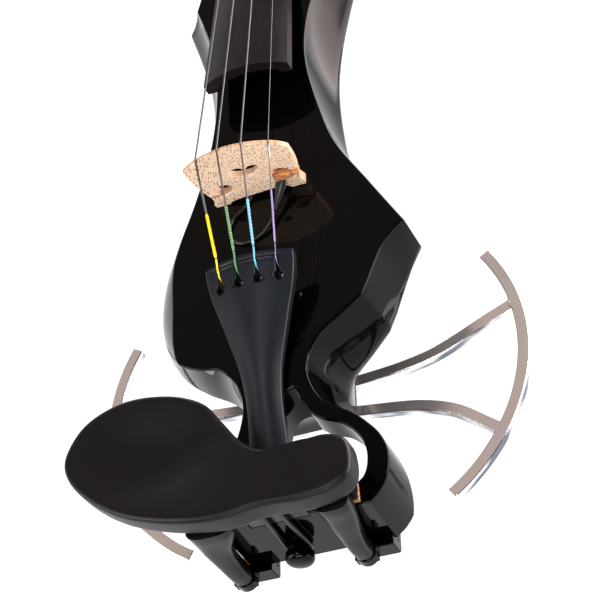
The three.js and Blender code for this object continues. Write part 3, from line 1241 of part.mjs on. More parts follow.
for (const [name, x, rows] of [
  ["bass", LEG_BASS_X, LEG_BASS_SHARES], ["treble", LEG_TREBLE_X, LEG_TREBLE_SHARES]]) {
  add("clamp_leg_" + name, makeLeg(rows, x), "plastic");
  const low = footTop - FOOT_THICK;
  const hook = -DEPTH - FOOT_CORK - SEAT - SEAT;
  const sunk = low + SCREW_HEAD_THICK;
  const far = x + FOOT_REACH;
  const edge = FOOT_HALF / 4;
  const lug = crossPrism([[FOOT_TAIL_Y, low + edge], [FOOT_TAIL_Y + edge, low], [-LOWER, low], [-LOWER, footTop],
    [FOOT_TAIL_Y, footTop]], x - FOOT_HALF, x + FOOT_HALF);
  const block = crossPrism([[-LOWER - FOOT_SHOULDER, hook - HOOK_THICK + edge],
    [-LOWER - FOOT_SHOULDER + edge, hook - HOOK_THICK], [FOOT_FRONT_Y - edge, hook - HOOK_THICK],
    [FOOT_FRONT_Y, hook - HOOK_THICK + edge], [FOOT_FRONT_Y, hook], [-LOWER - SEAT - SEAT, hook],
    [-LOWER - SEAT - SEAT, footTop], [-LOWER - FOOT_SHOULDER, footTop]], x - FOOT_HALF, far);
  const holes = rod(SCREW_RADIUS + FIT, V(x, LEG_Y, low - FIT), V(x, LEG_Y, footTop + FIT), SMALL_ROUND)
    .add(rod(SCREW_HEAD + FIT, V(x, LEG_Y, low - HOOK_THICK), V(x, LEG_Y, sunk)));
  add("clamp_foot_" + name, lug.add(block).subtract(holes), "lacquer");
  const inner = FOOT_CORK / 4;
  add("foot_cork_" + name, box(x - FOOT_HALF + inner, far - inner, -LOWER + inner, FOOT_FRONT_Y - inner, hook + SEAT,
    -DEPTH - SEAT), "cork");
  const headTop = sunk - SEAT;
  const screw = rod(SCREW_RADIUS, V(x, LEG_Y, headTop - SEAT), V(x, LEG_Y, LEG_FLOOR + SCREW_IN_LEG - FIT),
    SMALL_ROUND).add(turned([[0, 0], [SCREW_HEAD - FIT - FIT, 0], [SCREW_HEAD, FIT + SEAT],
    [SCREW_HEAD, SCREW_HEAD_THICK], [0, SCREW_HEAD_THICK]], V(x, LEG_Y, headTop - SCREW_HEAD_THICK), V(0, 0, 1)));
  const slot = box(x - SCREW_HEAD - FIT, x + SCREW_HEAD + FIT, LEG_Y - SCREW_SLOT / 2, LEG_Y + SCREW_SLOT / 2,
    headTop - SCREW_HEAD_THICK - FIT, headTop - SCREW_HEAD_THICK / 2);
  add("clamp_screw_" + name, screw.subtract(slot), "steel");
}

// Wing bracket: two bent plates with spacers and screws
function bar(points, half) {
  const left = [];
  const right = [];
  points.forEach(([x, y], i) => {
    const [ax, ay] = points[Math.max(i - 1, 0)];
    const [bx, by] = points[Math.min(i + 1, points.length - 1)];
    const length = Math.hypot(bx - ax, by - ay);
    const nx = -(by - ay) / length;
    const ny = (bx - ax) / length;
    left.push([x + nx * half, y + ny * half]);
    right.push([x - nx * half, y - ny * half]);
  });
  return prism([...left, ...right.reverse()], WING_TOP - WING_THICK, WING_TOP);
}
function arcPoints(radius, from, to, count) {
  return Array.from({ length: count + 1 }, (_, i) => {
    const angle = THREE.MathUtils.lerp(from, to, i / count) * DEGREE;
    return [WING_ARC_X + Math.cos(angle) * radius, WING_ARC_Y + Math.sin(angle) * radius];
  });
}
const strut = (shares) => smooth(shares.map(([x, y]) => [x * WING_ARC, y * WING_ARC]), STRUT_STEPS, false);
function makeWing(side) {
  const half = WING_BAR / 2;
  const arc = bar(arcPoints(WING_ARC - half, WING_START, WING_END, WING_STEPS), half);
  const floor = WING_TOP - WING_THICK;
  const tips = [WING_START, WING_END].map((angle) => arcPoints(WING_ARC - half, angle, angle, 1)[0]);
  let body = arc.add(bar(strut(STRUT_UPPER_SHARES), half)).add(bar(strut(STRUT_LOWER_SHARES), half))
    .add(box(HUB_NEAR, HUB_FAR, HUB_BACK_Y, HUB_FRONT_Y, floor, WING_TOP));
  for (const [x, y] of tips)
    body = body.add(rod(half, V(x, y, floor), V(x, y, WING_TOP)));
  const hubY = (HUB_FRONT_Y + HUB_BACK_Y) / 2;
  if (side < 0)
    body = body.mirror([1, 0, 0]).translate([0, -hubY, 0]).rotate([0, 0, WING_BASS_TURN]).translate([0, hubY, 0]);
  const at = side * WING_SCREW_X;
  for (const y of wingScrews) {
    body = body.subtract(rod(WING_SCREW + SEAT, V(at, y, floor - FIT), V(at, y, WING_TOP + FIT), SMALL_ROUND));
    body = body.subtract(rod(WING_SCREW_HEAD + SEAT, V(at, y, floor - FIT), V(at, y, floor + WING_SCREW_SINK)));
  }
  return body;
}
for (const [name, side] of [["bass", -1], ["treble", 1]]) {
  add("wing_" + name, makeWing(side), "alloy");
  const x0 = Math.min(side * HUB_NEAR, side * HUB_FAR);
  const x1 = Math.max(side * HUB_NEAR, side * HUB_FAR);
  let spacer = box(x0, x1, HUB_BACK_Y, HUB_FRONT_Y, WING_TOP + SEAT, -DEPTH - SEAT);
  wingScrews.forEach((y, i) => {
    const floor = WING_TOP - WING_THICK;
    const at = side * WING_SCREW_X;
    spacer = spacer.subtract(rod(WING_SCREW + SEAT, V(at, y, WING_TOP - FIT), V(at, y, -DEPTH + FIT), SMALL_ROUND));
    const headTop = floor + WING_SCREW_SINK - SEAT;
    const screw = rod(WING_SCREW, V(at, y, headTop - FIT), V(at, y, -DEPTH + WING_SCREW_DEEP), SMALL_ROUND)
      .add(rod(WING_SCREW_HEAD, V(at, y, floor + WING_SCREW_LOW), V(at, y, headTop)))
      .subtract(rod(WING_SOCKET, V(at, y, floor), V(at, y, floor + WING_SOCKET_DEEP), HEXAGON));
    add("wing_screw_" + name + "_" + ["front", "rear"][i], screw, "steel");
  });
  add("wing_spacer_" + name, spacer, "plastic");
}

// Cover, electronics and battery
const coverLow = -DEPTH;
const coverTop = -DEPTH + COVER_THICK;
const knobs = [["volume", -KNOB_X], ["tone", KNOB_X]];
let cover = box(-coverHalf, coverHalf, coverBack, coverFront, coverLow, coverTop);
for (const side of [-1, 1]) {
  const x = side * coverScrewX;
  cover = cover.subtract(rod(COVER_SCREW + SEAT, V(x, coverScrewY, coverLow - FIT), V(x, coverScrewY, coverTop + FIT),
    SMALL_ROUND));
  cover = cover.subtract(rod(COVER_SCREW_HEAD + SEAT, V(x, coverScrewY, coverLow - FIT),
    V(x, coverScrewY, coverLow + COVER_SCREW_SINK)));
}
for (const [, x] of knobs)
  cover = cover.subtract(rod(POT_SHAFT + FIT, V(x, KNOB_Y, coverLow - FIT), V(x, KNOB_Y, coverTop + FIT)));
add("back_cover", cover, "plastic");
for (const [name, side] of [["bass", -1], ["treble", 1]]) {
  const x = side * coverScrewX;
  const headTop = coverLow + COVER_SCREW_SINK - SEAT;
  const screw = rod(COVER_SCREW, V(x, coverScrewY, headTop - FIT), V(x, coverScrewY, -DEPTH + COVER_SCREW_DEEP),
    SMALL_ROUND).add(rod(COVER_SCREW_HEAD, V(x, coverScrewY, coverLow + SEAT), V(x, coverScrewY, headTop)));
  const slot = box(x - COVER_SLOT_HALF, x + COVER_SLOT_HALF, coverScrewY - COVER_SIDE_LIP,
    coverScrewY + COVER_SIDE_LIP, coverLow - FIT, coverLow + COVER_SLOT_DEEP);
  add("cover_screw_" + name, screw.subtract(slot), "steel");
}

let circuit = box(-BOARD_HALF_X, BOARD_HALF_X, BOARD_BACK_Y, BOARD_FRONT_Y, BOARD_Z, BOARD_Z + BOARD_THICK);
for (const [, x] of knobs)
  circuit = circuit.add(rod(POT_RADIUS, V(x, KNOB_Y, POT_FLOOR), V(x, KNOB_Y, BOARD_Z + BOARD_THICK / 2)));
const boardMiddle = BOARD_Z + BOARD_THICK / 2;
circuit = circuit.add(box(-SOCKET_HALF, SOCKET_HALF, BOARD_BACK_Y + SOCKET_FROM, BOARD_BACK_Y + SOCKET_TO,
  BOARD_Z - SOCKET_DEEP, boardMiddle));
for (const side of [-1, 1])
  for (const y of [BOARD_BACK_Y + POST_RADIUS, BOARD_FRONT_Y - POST_RADIUS]) {
    const x = side * (BOARD_HALF_X - POST_RADIUS);
    circuit = circuit.add(rod(POST_RADIUS, V(x, y, boardMiddle), V(x, y, CAVITY_TOP - SEAT), SMALL_ROUND));
  }
add("preamp_board", circuit, "circuit");
const knobTop = -DEPTH - KNOB_LIFT;
for (const [name, x] of knobs) {
  const low = knobTop - KNOB_HEIGHT;
  let knob = turned([[0, 0], [KNOB_RADIUS - KNOB_EDGE, 0], [KNOB_RADIUS, KNOB_EDGE], [KNOB_RADIUS, KNOB_HEIGHT],
    [0, KNOB_HEIGHT]], V(x, KNOB_Y, low), V(0, 0, 1), FINE_ROUND);
  knob = knob.add(rod(POT_SHAFT, V(x, KNOB_Y, knobTop - KNOB_EDGE), V(x, KNOB_Y, POT_FLOOR - SEAT)));
  const mark = box(x - KNOB_MARK_HALF, x + KNOB_MARK_HALF, KNOB_Y + KNOB_MARK_FROM, KNOB_Y + KNOB_RADIUS + KNOB_EDGE,
    low - KNOB_EDGE, low + KNOB_MARK_DEEP);
  add(name + "_knob", knob.subtract(mark), "plastic");
}

const boxLow = -DEPTH + DOOR_THICK + SEAT + SEAT;
const cell = box(-BOX_HALF, BOX_HALF, BOX_BACK_Y, boxFront, boxLow, boxLow + BOX_THICK);
add("battery", cell, "cell");
const doorShape = [[doorBack, -DEPTH], [doorFront, -DEPTH], [doorFront, -DEPTH + DOOR_THICK],
  [doorBack, -DEPTH + DOOR_THICK]];
const thumbY = doorBack - THUMB_SET;
const thumb = rod(THUMB_RADIUS, V(0, thumbY, -DEPTH - THUMB_DEEP), V(0, thumbY, -DEPTH + THUMB_DEEP));
add("battery_door", crossPrism(doorShape, -doorHalf, doorHalf).subtract(thumb), "plastic");

// Jack: barrel in the bass wall with a bore that opens outwards
const jackOut = JACK_FACE_X - SEAT - JACK_FLANGE_THICK;
const jackEnd = jackOut + JACK_INNER;
const jack = rod(JACK_RADIUS, V(jackOut - JACK_NOSE, JACK_Y, JACK_Z), V(jackEnd, JACK_Y, JACK_Z))
  .add(rod(JACK_FLANGE, V(jackOut, JACK_Y, JACK_Z), V(JACK_FACE_X - SEAT, JACK_Y, JACK_Z), HEXAGON))
  .subtract(rod(JACK_BORE, V(jackOut - JACK_RADIUS, JACK_Y, JACK_Z), V(jackEnd - JACK_STOP, JACK_Y, JACK_Z)));
add("output_jack", jack, "steel");
const wireEndX = jackOut + JACK_INNER + WIRE_RADIUS + SEAT;
const wirePoints = [[wireEndX, JACK_Y, JACK_Z], [wireEndX + WIRE_BEND, JACK_Y + WIRE_RADIUS, JACK_Z + WIRE_RADIUS],
  ...WIRE_SHARES.map((point) => point.map((value) => value * CAVITY_HALF))];
const wire = smooth(wirePoints, WIRE_STEPS, false);
add("wire_harness", cord(wire, WIRE_RADIUS), "plastic");

export default group;
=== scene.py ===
"""Electric violin: the looks of every piece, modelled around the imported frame."""

import logging
import math
from collections.abc import Callable, Iterable, Sequence
from dataclasses import dataclass
from enum import Enum

import bmesh
import bpy
from mathutils import Matrix, Vector


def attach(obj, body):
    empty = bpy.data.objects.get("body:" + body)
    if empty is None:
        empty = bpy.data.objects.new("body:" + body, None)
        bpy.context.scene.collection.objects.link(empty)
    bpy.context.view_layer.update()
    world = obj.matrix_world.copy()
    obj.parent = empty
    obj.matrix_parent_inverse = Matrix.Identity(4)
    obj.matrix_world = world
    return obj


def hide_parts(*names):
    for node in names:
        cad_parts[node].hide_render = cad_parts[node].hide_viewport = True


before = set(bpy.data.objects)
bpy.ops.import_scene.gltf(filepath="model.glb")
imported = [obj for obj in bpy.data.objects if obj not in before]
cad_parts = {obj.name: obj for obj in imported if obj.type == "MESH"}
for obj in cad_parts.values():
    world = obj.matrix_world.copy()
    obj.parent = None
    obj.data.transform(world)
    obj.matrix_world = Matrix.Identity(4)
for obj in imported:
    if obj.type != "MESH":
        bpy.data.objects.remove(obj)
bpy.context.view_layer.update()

LOG = logging.getLogger("electric_violin")
MM = 0.001
Mesh = bmesh.types.BMesh
Node = bpy.types.Node
Share = tuple[float, ...]
Socket = bpy.types.NodeSocket


class Join(Enum):
    """How two closed shapes are put together."""

    ADD = "UNION"
    CUT = "DIFFERENCE"


class Side(Enum):
    """The two long sides of the instrument."""

    BASS = -1
    TREBLE = 1

    @property
    def word(self) -> str:
        """Word used in the names of the nodes."""
        return self.name.lower()


# ---- curves


def smooth(points: Sequence[Sequence[float]], count: int, closed: bool = False) -> list[Vector]:
    """Points of a smooth curve through the given ones.

    Args:
        points: The points that it passes.
        count: Number of steps along it.
        closed: Whether it returns to its start.

    Returns:
        The points, without a repeated last one when closed.
    """
    knots = [Vector((*p, 0.0)[:3]) for p in points]
    total = len(knots)
    spans = total if closed else total - 1
    drawn = []
    for step in range(count if closed else count + 1):
        place = spans * step / count
        start = min(int(place), spans - 1)
        weight = place - start
        one, two = knots[start % total], knots[(start + 1) % total]
        before = knots[(start - 1) % total] if closed or start > 0 else one * 2 - two
        after = knots[(start + 2) % total] if closed or start + 2 < total else two * 2 - one
        a, b, c = (max((q - p).length_squared ** 0.25, 1e-6) for p, q in ((before, one), (one, two), (two, after)))
        a, c = (b if gap < 1e-4 else gap for gap in (a, c))
        out = ((one - before) / a - (two - before) / (a + b) + (two - one) / b) * b
        into = ((two - one) / b - (after - one) / (b + c) + (after - two) / c) * b
        drawn.append(one + out * weight + (two * 3 - one * 3 - out * 2 - into) * weight**2
                     + (one * 2 - two * 2 + out + into) * weight**3)
    return drawn


def blend_values(table: Sequence[Share], at: float, column: int = 1) -> float:
    """Value of a smooth table of (place, value, ...) rows.

    Args:
        table: Rows in rising order of place.
        at: The place asked for.
        column: Which value of the rows is read.

    Returns:
        The value, held at both ends of the table.
    """
    last = len(table) - 1
    at = min(max(at, table[0][0]), table[last][0])
    i = next(k for k in range(1, last + 1) if table[k][0] >= at)
    rows = [table[k] for k in (max(i - 2, 0), i - 1, i, min(i + 1, last))]
    (x0, y0), (x1, y1), (x2, y2), (x3, y3) = ((row[0], row[column]) for row in rows)
    span = x2 - x1
    weight = (at - x1) / span
    m1 = (y2 - y0) / (x2 - x0) * span if x2 > x0 else y2 - y1
    m2 = (y3 - y1) / (x3 - x1) * span if x3 > x1 else y2 - y1
    w2, w3 = weight**2, weight**3
    return (2 * w3 - 3 * w2 + 1) * y1 + (w3 - 2 * w2 + weight) * m1 + (3 * w2 - 2 * w3) * y2 + (w3 - w2) * m2


def straight_values(table: Sequence[Share], at: float) -> float:
    """Value of a table of (place, value) rows joined by straight lines.

    Args:
        table: Rows in rising order of place.
        at: The place asked for.

    Returns:
        The value at that place.
    """
    i = next((k for k in range(1, len(table)) if table[k][0] >= at), len(table) - 1)
    (x0, y0), (x1, y1) = table[i - 1][:2], table[i][:2]
    return y0 + (y1 - y0) * (at - x0) / (x1 - x0)


def mix(low: float, high: float, share: float) -> float:
    """Value a share of the way from low to high."""
    return low + (high - low) * share


def bent(value: float, power: float) -> float:
    """Power of a value that keeps its sign."""
    return math.copysign(abs(value) ** power, value)


def around(count: int, place: Callable[[float, float], Vector]) -> list[Vector]:
    """Points round a full turn, each from a cosine and a sine."""
    angles = (k * math.tau / count for k in range(count))
    return [place(math.cos(angle), math.sin(angle)) for angle in angles]


def inward(outline: Sequence[Vector]) -> list[Vector]:
    """Directions in the plan that point into a closed outline.

    Args:
        outline: Its points.

    Returns:
        A unit direction for each point.
    """
    nexts = [*outline[1:], outline[0]]
    turn = math.copysign(1.0, sum(a.x * b.y - b.x * a.y for a, b in zip(outline, nexts)))
    ways = [b - a for a, b in zip([outline[-1], *outline[:-1]], nexts)]
    return [Vector((-way.y, way.x, 0.0)).normalized() * turn for way in ways]


# ---- shapes in millimetres


def loft(rings: Sequence[Sequence[Vector]], lengths: Sequence[float] = ()) -> Mesh:
    """Closed shape through rings of equal length.

    Args:
        rings: The rings in order.
        lengths: Length along a cord at each ring, for a map of turns across and millimetres along.

    Returns:
        The closed shape.
    """
    bm = bmesh.new()
    if lengths:
        across, along = (bm.verts.layers.float.new(name) for name in ("across", "along"))
        chart = bm.loops.layers.uv.new("UVMap")
    verts = [bm.verts.new(p) for p in rings[0]]
    loops = []
    for k, ring in enumerate(rings):
        if k:
            made = bmesh.ops.extrude_edge_only(bm, edges=loops[-1])
            fresh = {item for item in made["geom"] if isinstance(item, bmesh.types.BMVert)}
            verts = [next(e.other_vert(v) for e in v.link_edges if e.other_vert(v) in fresh) for v in verts]
            for vert, place in zip(verts, ring):
                vert.co = place
        loops.append([bm.edges.get(pair) or bm.edges.new(pair) for pair in zip(verts, [*verts[1:], verts[0]])])
        if lengths:
            for i, vert in enumerate(verts):
                vert[across], vert[along] = i / len(verts), lengths[k]
    for edges in (loops[0], loops[-1]):
        bmesh.ops.contextual_create(bm, geom=edges)
    bmesh.ops.recalc_face_normals(bm, faces=bm.faces)
    for face in bm.faces if lengths else ():
        values = [loop.vert[across] for loop in face.loops]
        wraps = max(values) - min(values) > 0.5 and len(values) == 4
        for loop, value in zip(face.loops, values):
            loop[chart].uv = (value + (1.0 if wraps and value < 0.5 else 0.0), loop.vert[along])
    return bm


def slab(outline: Iterable[Sequence[float]], start: float, stop: float, axis: int = 1) -> Mesh:
    """Prism of an outline along one axis.

    Args:
        outline: Points on the other two axes.
        start: First place on the axis.
        stop: Last place on it.
        axis: Number of the axis.

    Returns:
        The closed shape.
    """
    points = [tuple(p)[:2] for p in outline]
    return loft([[Vector((*p[:axis], at, *p[axis:])) for p in points] for at in (start, stop)])


def block(low: Sequence[float], high: Sequence[float]) -> Mesh:
    """Box between two corners.

    Args:
        low: Lowest corner.
        high: Highest corner.

    Returns:
        The closed shape.
    """
    bm = bmesh.new()
    size = [b - a for a, b in zip(low, high)]
    middle = Vector([(a + b) / 2 for a, b in zip(low, high)])
    bmesh.ops.create_cube(bm, size=1.0, matrix=Matrix.Translation(middle) @ Matrix.Diagonal((*size, 1.0)))
    return bm


def turned(profile: Sequence[Sequence[float]], at: Sequence[float], axis: Sequence[float], steps: int = 48) -> Mesh:
    """Turned shape.

    Args:
        profile: Radius and height of each point, first and last on the axis.
        at: Foot of the axis.
        axis: Direction of the axis.
        steps: Number of faces round it.

    Returns:
        The closed shape.
    """
    bm = bmesh.new()
    verts = [bm.verts.new((r, 0.0, h)) for r, h in profile]
    edges = [bm.edges.new(pair) for pair in zip(verts, verts[1:])]
    bmesh.ops.spin(bm, geom=[*verts, *edges], cent=(0, 0, 0), axis=(0, 0, 1), angle=math.tau, steps=steps,
                   use_merge=True)
    bmesh.ops.remove_doubles(bm, verts=bm.verts, dist=1e-4)
    bmesh.ops.recalc_face_normals(bm, faces=bm.faces)
    turn = Vector(axis).to_track_quat("Z", "Y").to_matrix().to_4x4()
    bmesh.ops.transform(bm, matrix=Matrix.Translation(Vector(at)) @ turn, verts=bm.verts)
    return bm


def rod(radius: float, start: Sequence[float], stop: Sequence[float], steps: int = 32) -> Mesh:
    """Straight round bar.

    Args:
        radius: Its radius.
        start: Centre of one end.
        stop: Centre of the other end.
        steps: Number of faces round it.

    Returns:
        The closed shape.
    """
    a, b = Vector(start), Vector(stop)
    length = (b - a).length
    return turned([(0, 0), (radius, 0), (radius, length), (0, length)], a, (b - a).normalized(), steps)


def tube(points: Sequence[Vector], radius: float | Sequence[float], sides: int = 16) -> Mesh:
    """Round cord through points, with a map of turns across and millimetres along.

    Args:
        points: Points that the cord passes.
        radius: One radius, or one for each point.
        sides: Number of faces round it.

    Returns:
        The closed shape.
    """
    sizes = [radius] * len(points) if isinstance(radius, (int, float)) else radius
    side = Vector((1, 0, 0))
    rings, lengths = [], []
    for i, point in enumerate(points):
        before, after = points[max(i - 1, 0)], points[min(i + 1, len(points) - 1)]
        way = ((point - before).normalized() + (after - point).normalized()).normalized()
        side = (side - way * side.dot(way)).normalized()
        up = way.cross(side)
        rings.append(around(sides, lambda c, s: point + side * (c * sizes[i]) + up * (s * sizes[i])))
        lengths.append(lengths[-1] + (point - before).length if i else 0.0)
    return loft(rings, lengths)


def to_mesh(bm: Mesh, name: str) -> bpy.types.Mesh:
    """Mesh of a shape, which is freed.

    Args:
        bm: The shape.
        name: Name of the mesh.

    Returns:
        The mesh.
    """
    mesh = bpy.data.meshes.new(name)
    bm.to_mesh(mesh)
    bm.free()
    return mesh


def hang(name: str, data: bpy.types.ID) -> bpy.types.Object:
    """New object in the scene.

    Args:
        name: Its name.
        data: Its mesh, light or camera.

    Returns:
        The object.
    """
    made = bpy.data.objects.new(name, data)
    bpy.context.scene.collection.objects.link(made)
    return made


def modify(obj: bpy.types.Object, kind: str, **settings: object) -> None:
    """Adds a modifier.

    Args:
        obj: The object that gets it.
        kind: The modifier's type.
        settings: Values set on it.
    """
    made = obj.modifiers.new(kind.lower(), kind)
    for key, value in settings.items():
        setattr(made, key, value)


def bake(obj: bpy.types.Object) -> None:
    """Puts an object's modifiers into its mesh.

    Args:
        obj: The object.
    """
    fresh = bpy.data.meshes.new_from_object(obj.evaluated_get(bpy.context.evaluated_depsgraph_get()))
    obj.modifiers.clear()
    old, obj.data = obj.data, fresh
    bpy.data.meshes.remove(old)


def drop(obj: bpy.types.Object) -> None:
    """Removes an object and its mesh.

    Args:
        obj: The object.
    """
    mesh = obj.data
    bpy.data.objects.remove(obj)
    bpy.data.meshes.remove(mesh)


def combine(base: Mesh, tools: Iterable[Mesh], how: Join) -> Mesh:
    """Adds shapes to a base or cuts them from it.

    Args:
        base: The shape that is changed.
        tools: The other shapes, one after the other.
        how: Whether they are added or cut.

    Returns:
        The new shape.
    """
    held = hang("held", to_mesh(base, "held"))
    for tool in tools:
        other = hang("tool", to_mesh(tool, "tool"))
        modify(held, "BOOLEAN", operation=how.value, solver="EXACT", object=other)
        bake(held)
        drop(other)
    result = bmesh.new()
    result.from_mesh(held.data)
    drop(held)
    return result


@dataclass(frozen=True)
class Edges:
    """How the edges and faces of a piece are finished."""

    round: float = 0.0
    steps: int = 3
    from_angle: float = 38.0
    sharp: float = 42.0
    clamp: bool = True


class Bench:
    """Turns shapes into finished pieces and keeps count of them."""

    def __init__(self) -> None:
        """Starts with no pieces."""
        self.made: list[bpy.types.Object] = []

    def piece(self, name: str, node: str, bm: Mesh, finish: "Finish", edges: Edges = Edges(),
              body: str = "violin") -> None:
        """Makes a finished piece of a shape in millimetres.

        Args:
            name: Name of the piece.
            node: Node that it replaces.
            bm: The shape, which is used up.
            finish: Its material.
            edges: How its edges are rounded and shaded.
            body: Moving body that it rides on.
        """
        bmesh.ops.remove_doubles(bm, verts=bm.verts, dist=1e-3)
        bmesh.ops.recalc_face_normals(bm, faces=bm.faces)
        bmesh.ops.scale(bm, vec=(MM, MM, MM), verts=bm.verts)
        for face in bm.faces:
            face.smooth = True
        obj = hang(name, to_mesh(bm, name))
        obj.data.set_sharp_from_angle(angle=math.radians(edges.sharp))
        if edges.round:
            modify(obj, "BEVEL", width=edges.round * MM, segments=edges.steps, limit_method="ANGLE",
                   angle_limit=math.radians(edges.from_angle), use_clamp_overlap=edges.clamp, harden_normals=False)
        modify(obj, "WEIGHTED_NORMAL", keep_sharp=True, weight=80)
        bake(obj)
        obj.data.name = name
        obj.data.materials.clear()
        obj.data.materials.append(finish.material())
        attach(obj, body)
        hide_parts(node)
        self.made.append(obj)
        LOG.info("%s: %d faces on %s", name, len(obj.data.polygons), body)

    def dress(self, finish: "Finish", *names: str) -> None:
        """Gives nodes of the frame their finish.

        Args:
            finish: Their material.
            names: The nodes.
        """
        for name in names:
            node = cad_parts[name]
            if not node.material_slots:
                node.data.materials.append(finish.material())
            for slot in node.material_slots:
                slot.material = finish.material()
            LOG.info("%s: dressed", name)


BENCH = Bench()


# ---- shader graphs


class Graph:
    """Short ways to place and join the nodes of a tree."""

    def __init__(self, tree: bpy.types.NodeTree) -> None:
        """Keeps the tree of a material, group or world."""
        self.tree = tree

    def node(self, kind: str, **settings: object) -> Node:
        """New node with its settings.

        Args:
            kind: The part of the node's type after ShaderNode.
            settings: Values set on the node.

        Returns:
            The node.
        """
        made = self.tree.nodes.new("ShaderNode" + kind)
        for key, value in settings.items():
            setattr(made, key, value)
        return made

    def fill(self, sockets: Iterable[Socket], values: Iterable[object]) -> None:
        """Fills sockets with values or links.

        Args:
            sockets: The inputs.
            values: Value or socket for each, a colour perhaps without its alpha.
        """
        for socket, value in zip(sockets, values):
            if isinstance(value, Socket):
                self.tree.links.new(value, socket)
            else:
                short = socket.type == "RGBA" and len(value) == 3
                socket.default_value = (*value, 1.0) if short else value

    def feed(self, node: Node, **inputs: object) -> Node:
        """Fills a node's inputs by name.

        Args:
            node: The node.
            inputs: Value or socket by the input's name, with _ for a space.

        Returns:
            The same node.
        """
        self.fill([node.inputs[key.replace("_", " ")] for key in inputs], inputs.values())
        return node

    def maths(self, how: str, one: object, two: object = 0.0, clamp: bool = False) -> Socket:
        """Result of a sum with two values or sockets.

        Args:
            how: Name of the operation.
            one: First value or socket.
            two: Second value or socket.
            clamp: Whether the result stays between zero and one.

        Returns:
            The result's socket.
        """
        made = self.node("Math", operation=how, use_clamp=clamp)
        self.fill(made.inputs, (one, two))
        return made.outputs[0]

    def times(self, one: object, two: object) -> Socket:
        """Product of two values or sockets."""
        return self.maths("MULTIPLY", one, two)

    def plus(self, one: object, two: object, clamp: bool = False) -> Socket:
        """Sum of two values or sockets."""
        return self.maths("ADD", one, two, clamp)

    def noise(self, where: Socket, scale: object, detail: float = 2.0, rough: float = 0.5, bend: float = 0.0) -> Socket:
        """Noise value over a place.

        Args:
            where: Socket of the place.
            scale: Cells for each metre.
            detail: Number of finer layers.
            rough: Strength of the finer layers.
            bend: Distortion.

        Returns:
            The value's socket.
        """
        return self.feed(self.node("TexNoise"), Vector=where, Scale=scale, Detail=detail, Roughness=rough,
                         Distortion=bend).outputs["Fac"]

    def cells(self, where: Socket, scale: object, flat: bool = False) -> tuple[Socket, Socket]:
        """Cells scattered over a place.

        Args:
            where: Socket of the place.
            scale: Cells for each metre.
            flat: Whether they lie in the plane of x and y.

        Returns:
            Sockets of the distance to the middle and of one random value for each cell.
        """
        made = self.feed(self.node("TexVoronoi", feature="F1", voronoi_dimensions="2D" if flat else "3D"),
                         Vector=where, Scale=scale)
        chance = self.feed(self.node("SeparateColor"), Color=made.outputs["Color"])
        return made.outputs["Distance"], chance.outputs[0]

    def ramp(self, value: Socket, low: float, high: float, to_low: object = 0.0, to_high: object = 1.0) -> Socket:
        """Maps a value from one range to another.

        Args:
            value: The value's socket.
            low: Start of its range.
            high: End of its range.
            to_low: Result at the start.
            to_high: Result at the end.

        Returns:
            The result's socket.
        """
        made = self.node("MapRange", clamp=True)
        self.fill(made.inputs, (value, low, high, to_low, to_high))
        return made.outputs[0]

    def tint(self, share: Socket, low: object, high: object) -> Socket:
        """Colour between two, by a share.

        Args:
            share: The share's socket.
            low: Colour at zero.
            high: Colour at one.

        Returns:
            The colour's socket.
        """
        made = self.node("Mix", data_type="RGBA")
        self.fill([made.inputs[k] for k in (0, 6, 7)], (share, low, high))
        return made.outputs[2]

    def stretch(self, where: Socket, scale: Share = (1, 1, 1), turn: Share = (0, 0, 0)) -> Socket:
        """Place scaled and turned for a pattern.

        Args:
            where: The place's socket.
            scale: Scale on each axis.
            turn: Turn about each axis in degrees.

        Returns:
            The new place's socket.
        """
        return self.feed(self.node("Mapping"), Vector=where, Scale=scale,
                         Rotation=tuple(math.radians(angle) for angle in turn)).outputs[0]

    def bump(self, height: Socket, depth: float, strength: float) -> Socket:
        """Normal that follows a height, whose one is a depth in metres."""
        return self.feed(self.node("Bump"), Height=height, Distance=depth, Strength=strength).outputs[0]

    def shared(self, name: str, place: Socket, **inputs: float) -> bpy.types.bpy_prop_collection:
        """Outputs of a shared group placed in this tree."""
        return self.feed(self.node("Group", node_tree=GROUPS.get(name)), Place=place, **inputs).outputs

    def place(self) -> Socket:
        """Place on the object in metres."""
        return self.node("TexCoord").outputs["Object"]

    def chart(self) -> Socket:
        """Map of a cord: turns across and millimetres along."""
        return self.node("UVMap", uv_map="UVMap").outputs[0]

    def axis(self, vector: Socket, name: str) -> Socket:
        """One axis of a vector."""
        return self.feed(self.node("SeparateXYZ"), Vector=vector).outputs[name]

    def normal(self, name: str) -> Socket:
        """One axis of the surface's direction."""
        return self.axis(self.node("NewGeometry").outputs["Normal"], name)


